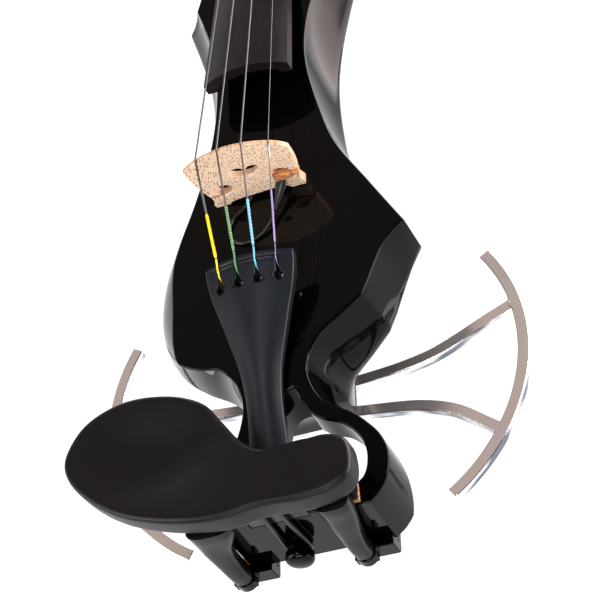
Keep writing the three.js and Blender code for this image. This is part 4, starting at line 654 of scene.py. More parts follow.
class Groups:
    """Shader groups that several materials share, each built once."""

    def __init__(self) -> None:
        """Starts with no groups."""
        self.trees: dict[str, bpy.types.NodeTree] = {}

    def get(self, name: str) -> bpy.types.NodeTree:
        """Group of that name, built when first asked for.

        Args:
            name: Name of the group.

        Returns:
            The group's tree.
        """
        if name not in self.trees:
            getattr(self, "_" + name)()
        return self.trees[name]

    def _start(self, name: str, outs: Sequence[str], **ins: float) -> tuple[Graph, Node, list[Socket]]:
        """New group that takes a place and some numbers.

        Args:
            name: Name of the group.
            outs: Names of the outputs, all numbers.
            ins: Names and values of the inputs after the place.

        Returns:
            The graph, its output node and the sockets of its inputs.
        """
        tree = self.trees[name] = bpy.data.node_groups.new(name, "ShaderNodeTree")
        tree.interface.new_socket(name="Place", in_out="INPUT", socket_type="NodeSocketVector")
        for label, value in ins.items():
            tree.interface.new_socket(name=label, in_out="INPUT", socket_type="NodeSocketFloat").default_value = value
        for label in outs:
            tree.interface.new_socket(name=label, in_out="OUTPUT", socket_type="NodeSocketFloat")
        start, end = tree.nodes.new("NodeGroupInput"), tree.nodes.new("NodeGroupOutput")
        return Graph(tree), end, [start.outputs[label] for label in ("Place", *ins)]

    def _dust(self) -> None:
        """Builds fine specks that lie on faces looking up."""
        graph, end, (place, scale, amount) = self._start("dust", ["Mask"], Scale=900.0, Amount=0.1)
        distance, chance = graph.cells(place, scale)
        dots = graph.ramp(distance, 0.0, 0.16, 1.0, 0.0)
        some = graph.times(dots, graph.maths("LESS_THAN", chance, amount))
        graph.feed(end, Mask=graph.times(some, graph.ramp(graph.normal("Z"), 0.2, 0.9)))

    def _wipe(self) -> None:
        """Builds faint smears, as a cloth leaves them on a glossy face."""
        graph, end, (place, scale) = self._start("wipe", ["Mask"], Scale=20.0)
        smears = graph.noise(graph.stretch(place, (1.0, 0.25, 1.0), (0, 0, 35)), scale, 5.0, 0.6, 0.6)
        graph.feed(end, Mask=graph.ramp(smears, 0.4, 0.75))

    def _grain(self) -> None:
        """Builds wood fibres and pores that run along x of the given place."""
        graph, end, (place, scale) = self._start("grain", ["Figure", "Pores", "Height"], Scale=300.0)
        figure = graph.noise(graph.stretch(place, (0.12, 1.0, 1.0)), scale, 4.0, 0.6, 0.3)
        pores = graph.ramp(graph.noise(graph.stretch(place, (0.08, 2.6, 2.6)), scale), 0.58, 0.7)
        graph.feed(end, Figure=graph.ramp(figure, 0.35, 0.68), Pores=pores,
                   Height=graph.maths("SUBTRACT", graph.times(figure, 0.4), pores))

    def _streaks(self) -> None:
        """Builds the fine lines of a brushed or turned surface along x of the given place."""
        graph, end, (place, scale) = self._start("streaks", ["Lines", "Patches"], Scale=900.0)
        lines = graph.noise(graph.stretch(place, (0.03, 1.0, 1.0)), scale, 3.0, 0.7)
        graph.feed(end, Lines=graph.ramp(lines, 0.3, 0.7),
                   Patches=graph.ramp(graph.noise(place, 45.0, 3.0, 0.6), 0.35, 0.7))

    def _moulded(self) -> None:
        """Builds the fine pebbled skin of moulded plastic, and its soft unevenness."""
        graph, end, (place, scale) = self._start("moulded", ["Height", "Patches"], Scale=2200.0)
        graph.feed(end, Height=graph.noise(place, scale),
                   Patches=graph.ramp(graph.noise(place, 55.0, 4.0, 0.55), 0.35, 0.7))

    def _winding(self) -> None:
        """Builds a wound thread from the piece's own map: turns across and length along."""
        graph, end, (place, pitch) = self._start("winding", ["Height", "Shade"], Pitch=1.0)
        turns = graph.maths("DIVIDE", graph.axis(place, "Y"), pitch)
        phase = graph.maths("FRACT", graph.plus(turns, graph.axis(place, "X")))
        wave = graph.maths("SINE", graph.times(phase, math.pi))
        graph.feed(end, Height=wave, Shade=graph.ramp(wave, 0.0, 0.8))


GROUPS = Groups()


# ---- finishes

WIRE = (0.12, 0.12, 0.125)


def scaled(colour: Share, *shares: float) -> Share:
    """Colour with its parts scaled by one share, or by one for each."""
    return tuple(v * k for v, k in zip(colour, shares * 3 if len(shares) == 1 else shares))


@dataclass(frozen=True)
class Finish:
    """A material with a colour, a gloss and the detail of its own kind."""

    name: str
    slot: str
    colour: Share
    rough: float = 0.5
    metal: float = 0.0
    shine: float = 0.5

    def material(self) -> bpy.types.Material:
        """Blender material of this finish, built when first asked for.

        Returns:
            The material.
        """
        made = bpy.data.materials.get(self.name)
        if not made:
            made = bpy.data.materials.new(self.name)
            made.use_nodes = True
            made.node_tree.nodes.clear()
            made.diffuse_color = (*self.colour, 1.0)
            graph = Graph(made.node_tree)
            shader = graph.feed(graph.node("BsdfPrincipled"), Base_Color=self.colour, Roughness=self.rough,
                                Metallic=self.metal, Specular_IOR_Level=self.shine)
            graph.fill(graph.node("OutputMaterial").inputs, [shader.outputs[0]])
            self.detail(graph, shader)
        return made

    def detail(self, graph: Graph, shader: Node) -> None:
        """Adds the detail of this kind of surface.

        Args:
            graph: Graph of the material.
            shader: The shader.
        """


@dataclass(frozen=True)
class Lacquer(Finish):
    """Deep gloss lacquer with a trace of unevenness, wipe marks and dust."""

    def detail(self, graph: Graph, shader: Node) -> None:
        """Adds wipe marks, dust and a faint unevenness.

        Args:
            graph: Graph of the material.
            shader: The shader.
        """
        place = graph.place()
        dust = graph.shared("dust", place, Scale=700.0, Amount=0.05)["Mask"]
        wipe = graph.shared("wipe", place, Scale=26.0)["Mask"]
        base = graph.tint(graph.noise(place, 9.0), scaled(self.colour, 0.55), self.colour)
        gloss = graph.plus(graph.times(wipe, 0.035), self.rough)
        graph.feed(shader, Base_Color=graph.tint(graph.times(dust, 0.25), base, (0.16, 0.16, 0.17)),
                   Roughness=graph.plus(gloss, graph.times(dust, 0.25), clamp=True),
                   Normal=graph.bump(graph.noise(place, 120.0, 1.5), 0.00003, 0.35))


@dataclass(frozen=True)
class Ebony(Finish):
    """Dense dark wood with fine pores and a dull polish."""

    along: Share = (0.0, 0.0, 90.0)

    def detail(self, graph: Graph, shader: Node) -> None:
        """Adds fibres and pores along the board.

        Args:
            graph: Graph of the material.
            shader: The shader.
        """
        place = graph.stretch(graph.place(), turn=self.along)
        grain = graph.shared("grain", place, Scale=420.0)
        base = graph.tint(grain["Figure"], scaled(self.colour, 0.45), scaled(self.colour, 1.5, 1.15, 1.2))
        worn = graph.ramp(graph.noise(place, 30.0, 3.0), 0.3, 0.7, self.rough - 0.07, self.rough + 0.08)
        graph.feed(shader, Base_Color=graph.tint(grain["Pores"], base, scaled(self.colour, 0.3)), Roughness=worn,
                   Normal=graph.bump(grain["Height"], 0.00004, 0.5))


@dataclass(frozen=True)
class Maple(Finish):
    """Pale quartered maple with brown ray flecks."""

    @staticmethod
    def _flecks(graph: Graph, face: Socket, scale: Share, turn: float) -> Socket:
        """Short dark strokes, one in some of the cells.

        Args:
            graph: Graph of the material.
            face: Socket of the place on the bridge's face.
            scale: Scale along and across the strokes.
            turn: Their turn in degrees.

        Returns:
            The mask's socket.
        """
        strokes = graph.stretch(graph.stretch(face, turn=(0, 0, turn)), scale)
        distance, chance = graph.cells(strokes, 900.0, flat=True)
        return graph.times(graph.ramp(distance, 0.2, 0.32, 1.0, 0.0), graph.maths("LESS_THAN", chance, 0.72))

    def detail(self, graph: Graph, shader: Node) -> None:
        """Adds the flecks, the fibres and brown cut faces.

        Args:
            graph: Graph of the material.
            shader: The shader.
        """
        place = graph.place()
        grain = graph.shared("grain", place, Scale=500.0)
        across = graph.axis(place, "X")
        face = graph.feed(graph.node("CombineXYZ"), X=across, Y=graph.axis(place, "Z")).outputs[0]
        bass = graph.ramp(across, -0.013, -0.005, 1.0, 0.0)
        steep = graph.times(bass, self._flecks(graph, face, (1.0, 0.34, 1.0), 22))
        short = graph.times(graph.maths("SUBTRACT", 1.0, bass), self._flecks(graph, face, (0.55, 1.15, 1.0), -12))
        base = graph.tint(grain["Figure"], self.colour, scaled(self.colour, 0.94, 0.87, 0.78))
        brown = scaled(self.colour, 0.42, 0.26, 0.16)
        spotted = graph.tint(graph.times(graph.plus(steep, short, clamp=True), 0.9), base, brown)
        cut = graph.ramp(graph.maths("ABSOLUTE", graph.normal("Y")), 0.3, 0.6, 0.7, 0.0)
        edged = graph.tint(cut, spotted, scaled(self.colour, 0.5, 0.33, 0.2))
        graph.feed(shader, Base_Color=graph.tint(graph.times(grain["Pores"], 0.15), edged, brown),
                   Roughness=graph.ramp(grain["Figure"], 0.0, 1.0, self.rough - 0.06, self.rough + 0.08),
                   Normal=graph.bump(grain["Height"], 0.00006, 0.5))


@dataclass(frozen=True)
class Moulded(Finish):
    """Moulded plastic with a fine skin and a soft sheen."""

    skin: float = 2200.0
    depth: float = 0.00002

    def detail(self, graph: Graph, shader: Node) -> None:
        """Adds the skin, its unevenness and a little dust.

        Args:
            graph: Graph of the material.
            shader: The shader.
        """
        place = graph.place()
        skin = graph.shared("moulded", place, Scale=self.skin)
        dust = graph.shared("dust", place, Scale=800.0, Amount=0.06)["Mask"]
        lighter = tuple(min(value * 1.12 + 0.0003, 1.0) for value in self.colour)
        base = graph.tint(skin["Patches"], self.colour, lighter)
        graph.feed(shader, Base_Color=graph.tint(graph.times(dust, 0.12), base, (0.22, 0.22, 0.22)),
                   Roughness=graph.ramp(skin["Patches"], 0.0, 1.0, self.rough - 0.01, self.rough + 0.015),
                   Normal=graph.bump(skin["Height"], self.depth, 0.6))


@dataclass(frozen=True)
class Cork(Finish):
    """Pressed cork of light and dark granules."""

    def detail(self, graph: Graph, shader: Node) -> None:
        """Adds the granules.

        Args:
            graph: Graph of the material.
            shader: The shader.
        """
        place = graph.place()
        distance, chance = graph.cells(place, 900.0)
        dark = scaled(self.colour, 0.42)
        base = graph.tint(graph.ramp(chance, 0.1, 0.9), dark, self.colour)
        fine = graph.noise(place, 3200.0, 3.0)
        graph.feed(shader, Base_Color=graph.tint(graph.ramp(fine, 0.55, 0.75), base, dark),
                   Normal=graph.bump(graph.maths("SUBTRACT", fine, distance), 0.0001, 0.8))


@dataclass(frozen=True)
class Steel(Finish):
    """Turned or rolled metal with fine lines."""

    def detail(self, graph: Graph, shader: Node) -> None:
        """Adds the lines and a few duller patches.

        Args:
            graph: Graph of the material.
            shader: The shader.
        """
        lines = graph.shared("streaks", graph.place(), Scale=1600.0)
        graph.feed(shader, Base_Color=graph.tint(lines["Patches"], self.colour, scaled(self.colour, 0.72)),
                   Roughness=graph.ramp(lines["Lines"], 0.0, 1.0, self.rough - 0.08, self.rough + 0.1),
                   Normal=graph.bump(lines["Lines"], 0.00001, 0.4))


@dataclass(frozen=True)
class BrushedAlloy(Finish):
    """Plate with dull faces and polished edges, which carry painted dark reflections."""

    def detail(self, graph: Graph, shader: Node) -> None:
        """Makes the flat faces dull and speckled and the cut edges bright, with painted dark reflections in bands
        across them.

        Args:
            graph: Graph of the material.
            shader: The shader.
        """
        place = graph.place()
        flat = graph.ramp(graph.maths("ABSOLUTE", graph.normal("Z")), 0.8, 0.97)
        speck = graph.noise(place, 2600.0, 3.0, 0.7)
        cloud = graph.noise(place, 60.0, 3.0, 0.6)
        tone = graph.tint(graph.ramp(graph.times(speck, cloud), 0.15, 0.38), scaled(self.colour, 0.93), self.colour)
        # painted reflection: dark bands of stretched noise on the cut edges stand in for reflected dark surroundings
        painted_reflection_bands = graph.ramp(graph.noise(graph.stretch(place, (1.0, 1.0, 4.0)), 34.0), 0.5, 0.62)
        bright = graph.tint(painted_reflection_bands, (0.84, 0.84, 0.86), (0.16, 0.18, 0.22))
        grainy = graph.ramp(speck, 0.3, 0.7, self.rough, self.rough + 0.06)
        lines = graph.shared("streaks", graph.stretch(place, turn=(0, 90, 0)), Scale=700.0)["Lines"]
        edge = graph.times(graph.maths("SUBTRACT", 1.0, flat), graph.ramp(lines, 0.0, 1.0, 0.06, 0.16))
        graph.feed(shader, Base_Color=graph.tint(flat, bright, tone),
                   Roughness=graph.plus(graph.times(flat, grainy), edge),
                   Normal=graph.bump(graph.times(speck, flat), 0.00001, 0.12))


@dataclass(frozen=True)
class Wound(Finish):
    """Metal flat wire wound round a core, with silk over its first millimetres."""

    pitch: float = 0.55
    thread: Share = (0.5, 0.5, 0.5)
    thread_until: float = 15.9

    def detail(self, graph: Graph, shader: Node) -> None:
        """Adds the turns of the wire and the silk at its tail end.

        Args:
            graph: Graph of the material.
            shader: The shader.
        """
        turns = graph.shared("winding", graph.chart(), Pitch=self.pitch)
        metal = graph.tint(turns["Shade"], scaled(self.colour, 0.5), self.colour)
        bare = graph.ramp(graph.axis(graph.chart(), "Y"), self.thread_until, self.thread_until + 0.1)
        gloss = graph.ramp(turns["Shade"], 0.0, 1.0, self.rough + 0.15, self.rough)
        graph.feed(shader, Base_Color=graph.tint(bare, self.thread, metal), Metallic=bare,
                   Roughness=graph.ramp(bare, 0.0, 1.0, 0.6, gloss), Normal=graph.bump(turns["Height"], 0.00004, 0.5))


@dataclass(frozen=True)
class Silk(Finish):
    """Silk thread wound round a string, in one colour with flecks of a second, after a bare length."""

    second: Share = (0.5, 0.5, 0.5)
    pitch: float = 3.4
    bare: float = 11.8

    def detail(self, graph: Graph, shader: Node) -> None:
        """Adds the threads and the second colour.

        Args:
            graph: Graph of the material.
            shader: The shader.
        """
        wide = graph.shared("winding", graph.chart(), Pitch=self.pitch)
        fine = graph.shared("winding", graph.chart(), Pitch=self.pitch / 8)
        base = graph.tint(graph.ramp(wide["Height"], 0.35, 0.75), self.second, self.colour)
        dark = graph.times(graph.maths("SUBTRACT", 1.0, fine["Shade"]), 0.3)
        silk = graph.tint(dark, base, scaled(self.colour, 0.3))
        metal = graph.ramp(graph.axis(graph.chart(), "Y"), self.bare, self.bare + 0.1, 1.0, 0.0)
        graph.feed(shader, Base_Color=graph.tint(metal, silk, WIRE), Metallic=metal,
                   Roughness=graph.ramp(metal, 0.0, 1.0, self.rough, 0.35),
                   Normal=graph.bump(fine["Height"], 0.00006, 0.7))


@dataclass(frozen=True)
class Clear(Finish):
    """Clear soft tube."""

    def detail(self, graph: Graph, shader: Node) -> None:
        """Lets light through and adds a slight haze.

        Args:
            graph: Graph of the material.
            shader: The shader.
        """
        haze = graph.noise(graph.place(), 500.0)
        graph.feed(shader, Transmission_Weight=0.85, IOR=1.42, Normal=graph.bump(haze, 0.00002, 0.3),
                   Roughness=graph.ramp(haze, 0.3, 0.7, self.rough, self.rough + 0.2))


@dataclass(frozen=True)
class Board(Finish):
    """Green board with lighter tracks."""

    def detail(self, graph: Graph, shader: Node) -> None:
        """Adds the tracks under the green mask.

        Args:
            graph: Graph of the material.
            shader: The shader.
        """
        tracks = graph.feed(graph.node("TexBrick"), Vector=graph.place(), Scale=180.0, Mortar_Size=0.08).outputs["Fac"]
        light = tuple(min(value * 2.2, 1.0) for value in self.colour)
        graph.feed(shader, Base_Color=graph.tint(tracks, self.colour, light), Normal=graph.bump(tracks, 0.00004, 0.4))


class Palette:
    """All finishes of the instrument."""

    lacquer = Lacquer("black lacquer", "black_lacquer", (0.0012, 0.001, 0.0011), 0.03, 0.0, 0.14)
    neck = Lacquer("neck lacquer", "black_lacquer", (0.002, 0.0017, 0.0018), 0.07, 0.0, 0.2)
    ebony = Ebony("fingerboard ebony", "ebony", (0.0062, 0.0045, 0.0058), 0.42, 0.0, 0.12)
    pegwood = Ebony("peg ebony", "ebony", (0.01, 0.0078, 0.007), 0.3, 0.0, 0.35, (90.0, 0.0, 0.0))
    maple = Maple("bridge maple", "maple", (0.8, 0.61, 0.46), 0.5, 0.0, 0.35)
    bone = Moulded("nut bone", "bone", (0.75, 0.7, 0.58), 0.35, 0.0, 0.5, 1500.0, 0.00001)
    wedge = Cork("wedge wood", "wedge_wood", (0.66, 0.26, 0.09), 0.7, 0.0, 0.3)
    cork = Cork("pressed cork", "cork", (0.5, 0.26, 0.1), 0.85, 0.0, 0.2)
    rest = Moulded("chinrest plastic", "black_plastic", (0.0042, 0.0034, 0.0052), 0.36, 0.0, 0.17)
    tail = Moulded("tailpiece plastic", "black_plastic", (0.0037, 0.0052, 0.0078), 0.36, 0.0, 0.22, 2600.0)
    leg = Moulded("clamp plastic", "black_plastic", (0.0035, 0.0035, 0.0042), 0.24, 0.0, 0.14)
    lead = Moulded("lead jacket", "black_plastic", (0.003, 0.003, 0.0035), 0.3, 0.0, 0.4, 3000.0)
    cover = Moulded("cover plastic", "black_plastic", (0.01, 0.01, 0.011), 0.42, 0.0, 0.4, 1400.0, 0.00005)
    steel = Steel("satin steel", "steel", (0.62, 0.62, 0.64), 0.28, 1.0)
    alloy = BrushedAlloy("wing alloy", "aluminium", (0.93, 0.86, 0.83), 0.2, 0.92)
    clear = Clear("clear tube", "clear_tube", (0.9, 0.92, 0.95), 0.1)
    circuit = Board("circuit board", "circuit_board", (0.02, 0.16, 0.06), 0.35)
    cell = Steel("battery can", "battery_case", (0.05, 0.05, 0.06), 0.35, 0.6)
    silk = {
        "g": Silk("yellow silk", "silk_g", (0.9, 0.66, 0.01), 0.6, 0.0, 0.2, (0.8, 0.55, 0.01), 5.0, 15.5),
        "d": Silk("green silk", "silk_d", (0.08, 0.24, 0.09), 0.6, 0.0, 0.2, (0.3, 0.42, 0.2), 1.3, 16.3),
        "a": Silk("blue silk", "silk_a", (0.12, 0.42, 0.58), 0.6, 0.0, 0.2, (0.32, 0.6, 0.72), 1.6, 15.4),
        "e": Silk("lilac silk", "silk_e", (0.3, 0.2, 0.5), 0.6, 0.0, 0.2, (0.42, 0.32, 0.6), 1.4, 11.7),
    }
    wire = {
        "g": Wound("string g", "string_steel", WIRE, 0.36, 1.0, 0.5, 0.5, silk["g"].colour),
        "d": Wound("string d", "string_steel", WIRE, 0.36, 1.0, 0.5, 0.45, silk["d"].colour),
        "a": Wound("string a", "string_steel", WIRE, 0.36, 1.0, 0.5, 0.4, silk["a"].colour),
        "e": Wound("string e", "string_steel", WIRE, 0.36, 1.0, 0.5, 0.1, silk["e"].colour),
    }


# ---- shared sizes of the instrument

SEAT = 0.1
FIT = 0.3
STRINGS = ("g", "d", "a", "e")
STRING_RADII = (0.43, 0.4, 0.36, 0.17)


def string_x(index: int, spread: float) -> float:
    """Place of a string across a spread of all four."""
    return (index / (len(STRINGS) - 1) - 0.5) * spread


def sag(radius: float, x: float) -> float:
    """Depth of an arc at a distance from its crown."""
    return radius - math.sqrt(radius * radius - x * x)


@dataclass(frozen=True)
class Line:
    """Main lines that the assemblies share, in millimetres."""

    board_y: float = 58.4
    board_z: float = 11.9
    fall: float = 0.1353
    board_length: float = 269.3
    nut_length: float = 4.5
    lower: float = 158.0
    upper: float = 195.0
    depth: float = 47.0
    crease: Share = (44.5, -66.4, 0.0)
    crease_run: Share = (51.2, 25.2)
    tail_fall: float = 0.17
    bridge_arch: float = 42.0
    bridge_crown: float = 36.3
    bridge_tilt: float = 0.0406
    bridge_seat: float = 0.3
    string_spread: float = 33.9

    def board(self, y: float) -> float:
        """Height of the fingerboard's lower edge."""
        return self.board_z - self.fall * (y - self.board_y)

    @property
    def board_end(self) -> float:
        """Place of the fingerboard's end at the nut."""
        return self.board_y + self.board_length

    @property
    def crease_way(self) -> Vector:
        """Plan direction in which the tail slope falls."""
        return Vector((self.crease_run[1], -self.crease_run[0], 0)).normalized()

    def slope(self, x: float, y: float) -> float:
        """Height of the tail slope, zero before the crease."""
        way = self.crease_way
        return -self.tail_fall * max((x - self.crease[0]) * way.x + (y - self.crease[1]) * way.y, 0.0)

    def plate(self, x: float, y: float) -> float:
        """Height of the body's top anywhere."""
        return min(self.slope(x, y), self.board(y) - SEAT)

    def bridge_top(self, x: float) -> float:
        """Height of the bridge's top edge."""
        return self.bridge_crown - sag(self.bridge_arch, x) - self.bridge_tilt * x + self.bridge_seat


LINE = Line()


# ---- body


@dataclass
class Body:
    """Solid body with flared sides and an open tail frame; its outlines are shares of the sizes in Line."""

    half: float = 66.0
    lip: float = 0.9
    lip_steps: int = 4
    finer: int = 3
    top: tuple = (
        ((0.258, 1), (0.333, 0.872), (0.5, 0.651)),
        ((0.403, 0.569), (0.35, 0.462), (0.355, 0.369), (0.448, 0.21), (0.541, 0.105), (0.765, -0.044),
         (0.989, -0.211)),
        ((0.906, -0.241), (0.829, -0.283), (0.762, -0.342), (0.709, -0.394), (0.671, -0.423)),
        ((0.526, -0.466), (0.4, -0.501), (0.311, -0.544), (0.25, -0.595)),
        ((-0.197, -0.614),),
        ((-0.242, -0.585), (-0.332, -0.551), (-0.482, -0.534), (-0.606, -0.501), (-0.645, -0.443),
         (-0.652, -0.316), (-0.655, -0.171), (-0.614, -0.095), (-0.494, 0.043), (-0.389, 0.177), (-0.342, 0.308),
         (-0.35, 0.462), (-0.417, 0.559), (-0.5, 0.651)),
        ((-0.333, 0.872), (-0.258, 1)),
    )
    flare: tuple = (
        ((0.273, 1, -0.319), (0.424, 0.872, -0.362), (0.682, 0.667, -0.383)),
        ((0.598, 0.569, -0.404), (0.523, 0.462), (0.491, 0.359), (0.508, 0.215), (0.561, 0.103),
         (0.773, -0.044, -0.447), (1, -0.215, -0.468)),
        ((0.933, -0.261, -0.489), (0.883, -0.301, -0.511), (0.838, -0.341, -0.532), (0.785, -0.392, -0.553),
         (0.741, -0.441, -0.574)),
        ((0.583, -0.494, -0.638), (0.45, -0.534, -0.681), (0.411, -0.563, -0.681), (0.386, -0.614, -0.66)),
        ((-0.273, -0.614, -0.66),),
        ((-0.318, -0.582, -0.66), (-0.409, -0.544, -0.638), (-0.583, -0.503, -0.574), (-0.72, -0.456, -0.511),
         (-0.803, -0.392, -0.447), (-0.864, -0.297), (-0.867, -0.196), (-0.823, -0.092), (-0.659, 0.041),
         (-0.538, 0.177), (-0.491, 0.308), (-0.523, 0.462), (-0.598, 0.569, -0.404), (-0.682, 0.667, -0.383)),
        ((-0.424, 0.872, -0.362), (-0.273, 1, -0.319)),
    )
    back: tuple = (
        ((0.167, 1, -0.702), (0.212, 0.872, -0.766), (0.303, 0.656, -0.872)),
        ((0.273, 0.569, -0.957), (0.265, 0.472), (0.265, 0.359), (0.288, 0.21), (0.364, 0.103), (0.485, -0.044),
         (0.606, -0.203)),
        ((0.576, -0.241), (0.553, -0.278), (0.523, -0.316), (0.492, -0.354), (0.462, -0.386)),
        ((0.402, -0.43), (0.364, -0.468), (0.348, -0.506), (0.348, -0.595)),
        ((-0.348, -0.595),),
        ((-0.348, -0.532), (-0.356, -0.487), (-0.394, -0.449), (-0.439, -0.405), (-0.477, -0.348),
         (-0.492, -0.272), (-0.485, -0.184), (-0.455, -0.095), (-0.371, 0.041), (-0.288, 0.177), (-0.265, 0.308),
         (-0.265, 0.472), (-0.273, 0.569, -0.957), (-0.303, 0.656, -0.872)),
        ((-0.212, 0.872, -0.766), (-0.167, 1, -0.702)),
    )
    levels: Share = (0.0, -0.426, -1.0)
    samples: tuple[int, ...] = (6, 21, 10, 8, 1, 42, 6)
    bows: tuple = ((0, -0.1), (-0.16, -0.1), (-0.04, 0), (0, 0.1), (0, 0), (0.1, -0.16), (-0.1, 0))
    bass_bow: float = 0.2
    under_bow: float = 0.1
    softening: int = 8
    upper_shares: Share = (0.12, 0.25, 0.38, 0.5, 0.62, 0.74, 0.86)
    under_shares: Share = (0.17, 0.33, 0.5, 0.66, 0.8, 0.92, 0.975)
    back_scores: Share = (0.472, 0.52, 0.569, 0.61, 0.656, 0.73, 0.8, 0.872, 0.94)
    outer: tuple = (
        (0.273, -0.506), (0.295, -0.554), (0.27, -0.608), (0.295, -0.655), (0.356, -0.699), (0.439, -0.725),
        (0.53, -0.747), (0.621, -0.782), (0.697, -0.823), (0.736, -0.877), (0.712, -0.937), (0.648, -0.978),
        (0.583, -1),
    )
    outer_bass: tuple = (
        (-0.394, -1), (-0.447, -0.981), (-0.455, -0.937), (-0.394, -0.873), (-0.28, -0.804), (-0.205, -0.741),
        (-0.171, -0.677), (-0.197, -0.614), (-0.273, -0.557),
    )
    opening: tuple = (
        (0.185, -0.652), (0.22, -0.693), (0.265, -0.728), (0.342, -0.754), (0.459, -0.775), (0.533, -0.801),
        (0.586, -0.838), (0.598, -0.878), (0.565, -0.924), (0.485, -0.946), (0.333, -0.946), (0.182, -0.93),
        (0.091, -0.886), (0.061, -0.823), (0.055, -0.741), (0.085, -0.684), (0.136, -0.658),
    )
    arch: tuple = (
        (-0.62, -1.011), (-0.63, -0.766), (-0.658, -0.553), (-0.709, -0.457), (-0.766, -0.447), (-0.81, -0.543),
        (-0.861, -0.702), (-0.911, -0.872), (-0.956, -1.011),
    )
    bays: tuple = (
        ((-23.65, -45.25, -48), (23.65, 14.25, -44.75)), ((-19, -42, -48), (19, 11, -17)),
        ((-15.15, 14.95, -48), (15.15, 68.35, -44.75)), ((-13.7, 16.4, -48), (13.7, 66.9, -26.6)),
    )
    bores: tuple = (
        (9.4, (-66, -27, -33.5), (-39.5, -27, -33.5), 64), (4.9, (-42, -27, -33.5), (-18, -27, -33.5)),
        (1.75, (-5, 8.6, -18), (-5, 8.6, 2)),
    )
    saddle_seat: tuple = ((-13.1, -159, -14.1), (13.1, -151.6, 4))

    def _steps(self) -> list[tuple[int, float]]:
        """Segment and share along it for each point of the outlines.

        Returns:
            The segments' numbers and the shares.
        """
        counts = [max(count * self.finer, 6) for count in self.samples]
        places = [(index, i / count) for index, count in enumerate(counts) for i in range(count)]
        return [*places, (len(counts) - 1, 1.0)]

    def _ring(self, segments: tuple, level: float) -> list[Vector]:
        """Outline of the whole body from one table.

        Args:
            segments: Points as shares, without the first of each segment, where the one before ends.
            level: Height share where a point gives none.

        Returns:
            The points in millimetres.
        """
        ring, last = [], ()
        for part, count in zip(segments, self.samples):
            reach = [LINE.upper if p[1] > 0 else LINE.lower for p in (*last, *part)]
            points = [(p[0] * self.half, p[1] * r, (*p, level)[2] * LINE.depth) for p, r in zip((*last, *part), reach)]
            ring[-1:] = smooth(points, max(count * self.finer, 6))
            last = part[-1:]
        return ring

    def _soften(self, rings: list[list[Vector]]) -> None:
        """Rounds the crease of the flare along the treble waist.

        Args:
            rings: Rings of the wall from the top down, changed in place.
        """
        shares = [{2: max(t - 0.8, 0.0) * 5, 3: min((1 - t) / 0.3, 1.0)}.get(index, 0.0) for index, t in self._steps()]
        for _ in range(self.softening):
            old = [list(ring) for ring in rings]
            for k in range(7, len(rings) - 3):
                for i, share in enumerate(shares):
                    if share:
                        middle = (old[k - 1][i] + old[k + 1][i]) * 0.25 + old[k][i] * 0.5
                        rings[k][i] = old[k][i].lerp(middle, share)

    def _lip(self, edge: Callable[[float], Sequence[Vector]], ways: Sequence[Vector],
             height: Callable[[float, float], float], swap: bool = False) -> list[list[Vector]]:
        """Rings round a rounded top edge.

        Args:
            edge: Points of the wall at a depth below the top.
            ways: Directions away from the wall.
            height: Height of the top at a place.
            swap: Whether the rings rise from the wall rather than sink to it.

        Returns:
            The rings in order.
        """
        rings = []
        for k in range(self.lip_steps + 1):
            angle = math.radians(k * 90 / self.lip_steps)
            down, aside = self.lip * (1 - math.cos(angle)), self.lip * (1 - math.sin(angle))
            down, aside = (aside, down) if swap else (down, aside)
            places = [point + way * aside for point, way in zip(edge(down), ways)]
            rings.append([Vector((p.x, p.y, height(p.x, p.y) - down)) for p in places])
        return rings

    def shell(self) -> Mesh:
        """Closed body without its tail frame.

        Returns:
            The closed shape.
        """
        top, flare, back = (self._ring(*pair) for pair in zip((self.top, self.flare, self.back), self.levels))
        count = range(len(top))
        bows = [mix(*self.bows[index], t)
                + (self.bass_bow * math.sin(math.pi * min(1.0, t + t * t)) if index == 5 else 0)
                for index, t in self._steps()]

        def wall(i: int, z: float) -> Vector:
            """Point of the upper wall.

            Args:
                i: Number of the point on the outline.
                z: Its height.

            Returns:
                The point.
            """
            s = z / flare[i].z
            at = top[i].lerp(flare[i], s + 4 * bows[i] * s * (1 - s))
            at.z = z
            return at

        def under(s: float) -> list[Vector]:
            """Ring of the wall below the flare.

            Args:
                s: Share of the way to the back.

            Returns:
                The ring.
            """
            bulge = s - 4 * self.under_bow * s * (1 - s)
            places = [flare[i].lerp(back[i], bulge) for i in count]
            return [Vector((p.x, p.y, mix(flare[i].z, back[i].z, s))) for i, p in enumerate(places)]

        heights = [0.0 for _ in count]
        for _ in range(8):
            heights = [LINE.plate(*wall(i, z).xy) for i, z in enumerate(heights)]
        rings = self._lip(lambda down: [wall(i, heights[i] - down) for i in count], inward(top), LINE.plate)
        for share in self.upper_shares:
            rings.append([wall(i, mix(heights[i] - self.lip, flare[i].z, share)) for i in count])
        above = [wall(i, flare[i].z + min(1.1, (heights[i] - flare[i].z) * 0.12)) for i in count]
        below = under(0.05)
        rings += [above, [(a + b) * 0.25 + c * 0.5 for a, b, c in zip(above, below, flare)], below]
        rings += [under(share) for share in self.under_shares]
        rings.append([p.lerp(Vector((0, p.y, p.z)), 0.012) for p in back])
        self._soften(rings)
        bm = loft(rings)
        board_from = LINE.board_y + (LINE.board_z - SEAT) / LINE.fall
        self._score(bm, 1, Vector(LINE.crease), LINE.crease_way)
        self._score(bm, 1, Vector((0, board_from, 0)), Vector((0, 1, 0)))
        for share in self.back_scores:
            self._score(bm, -1, Vector((0, share * LINE.upper, 0)), Vector((0, 1, 0)))
        return bm

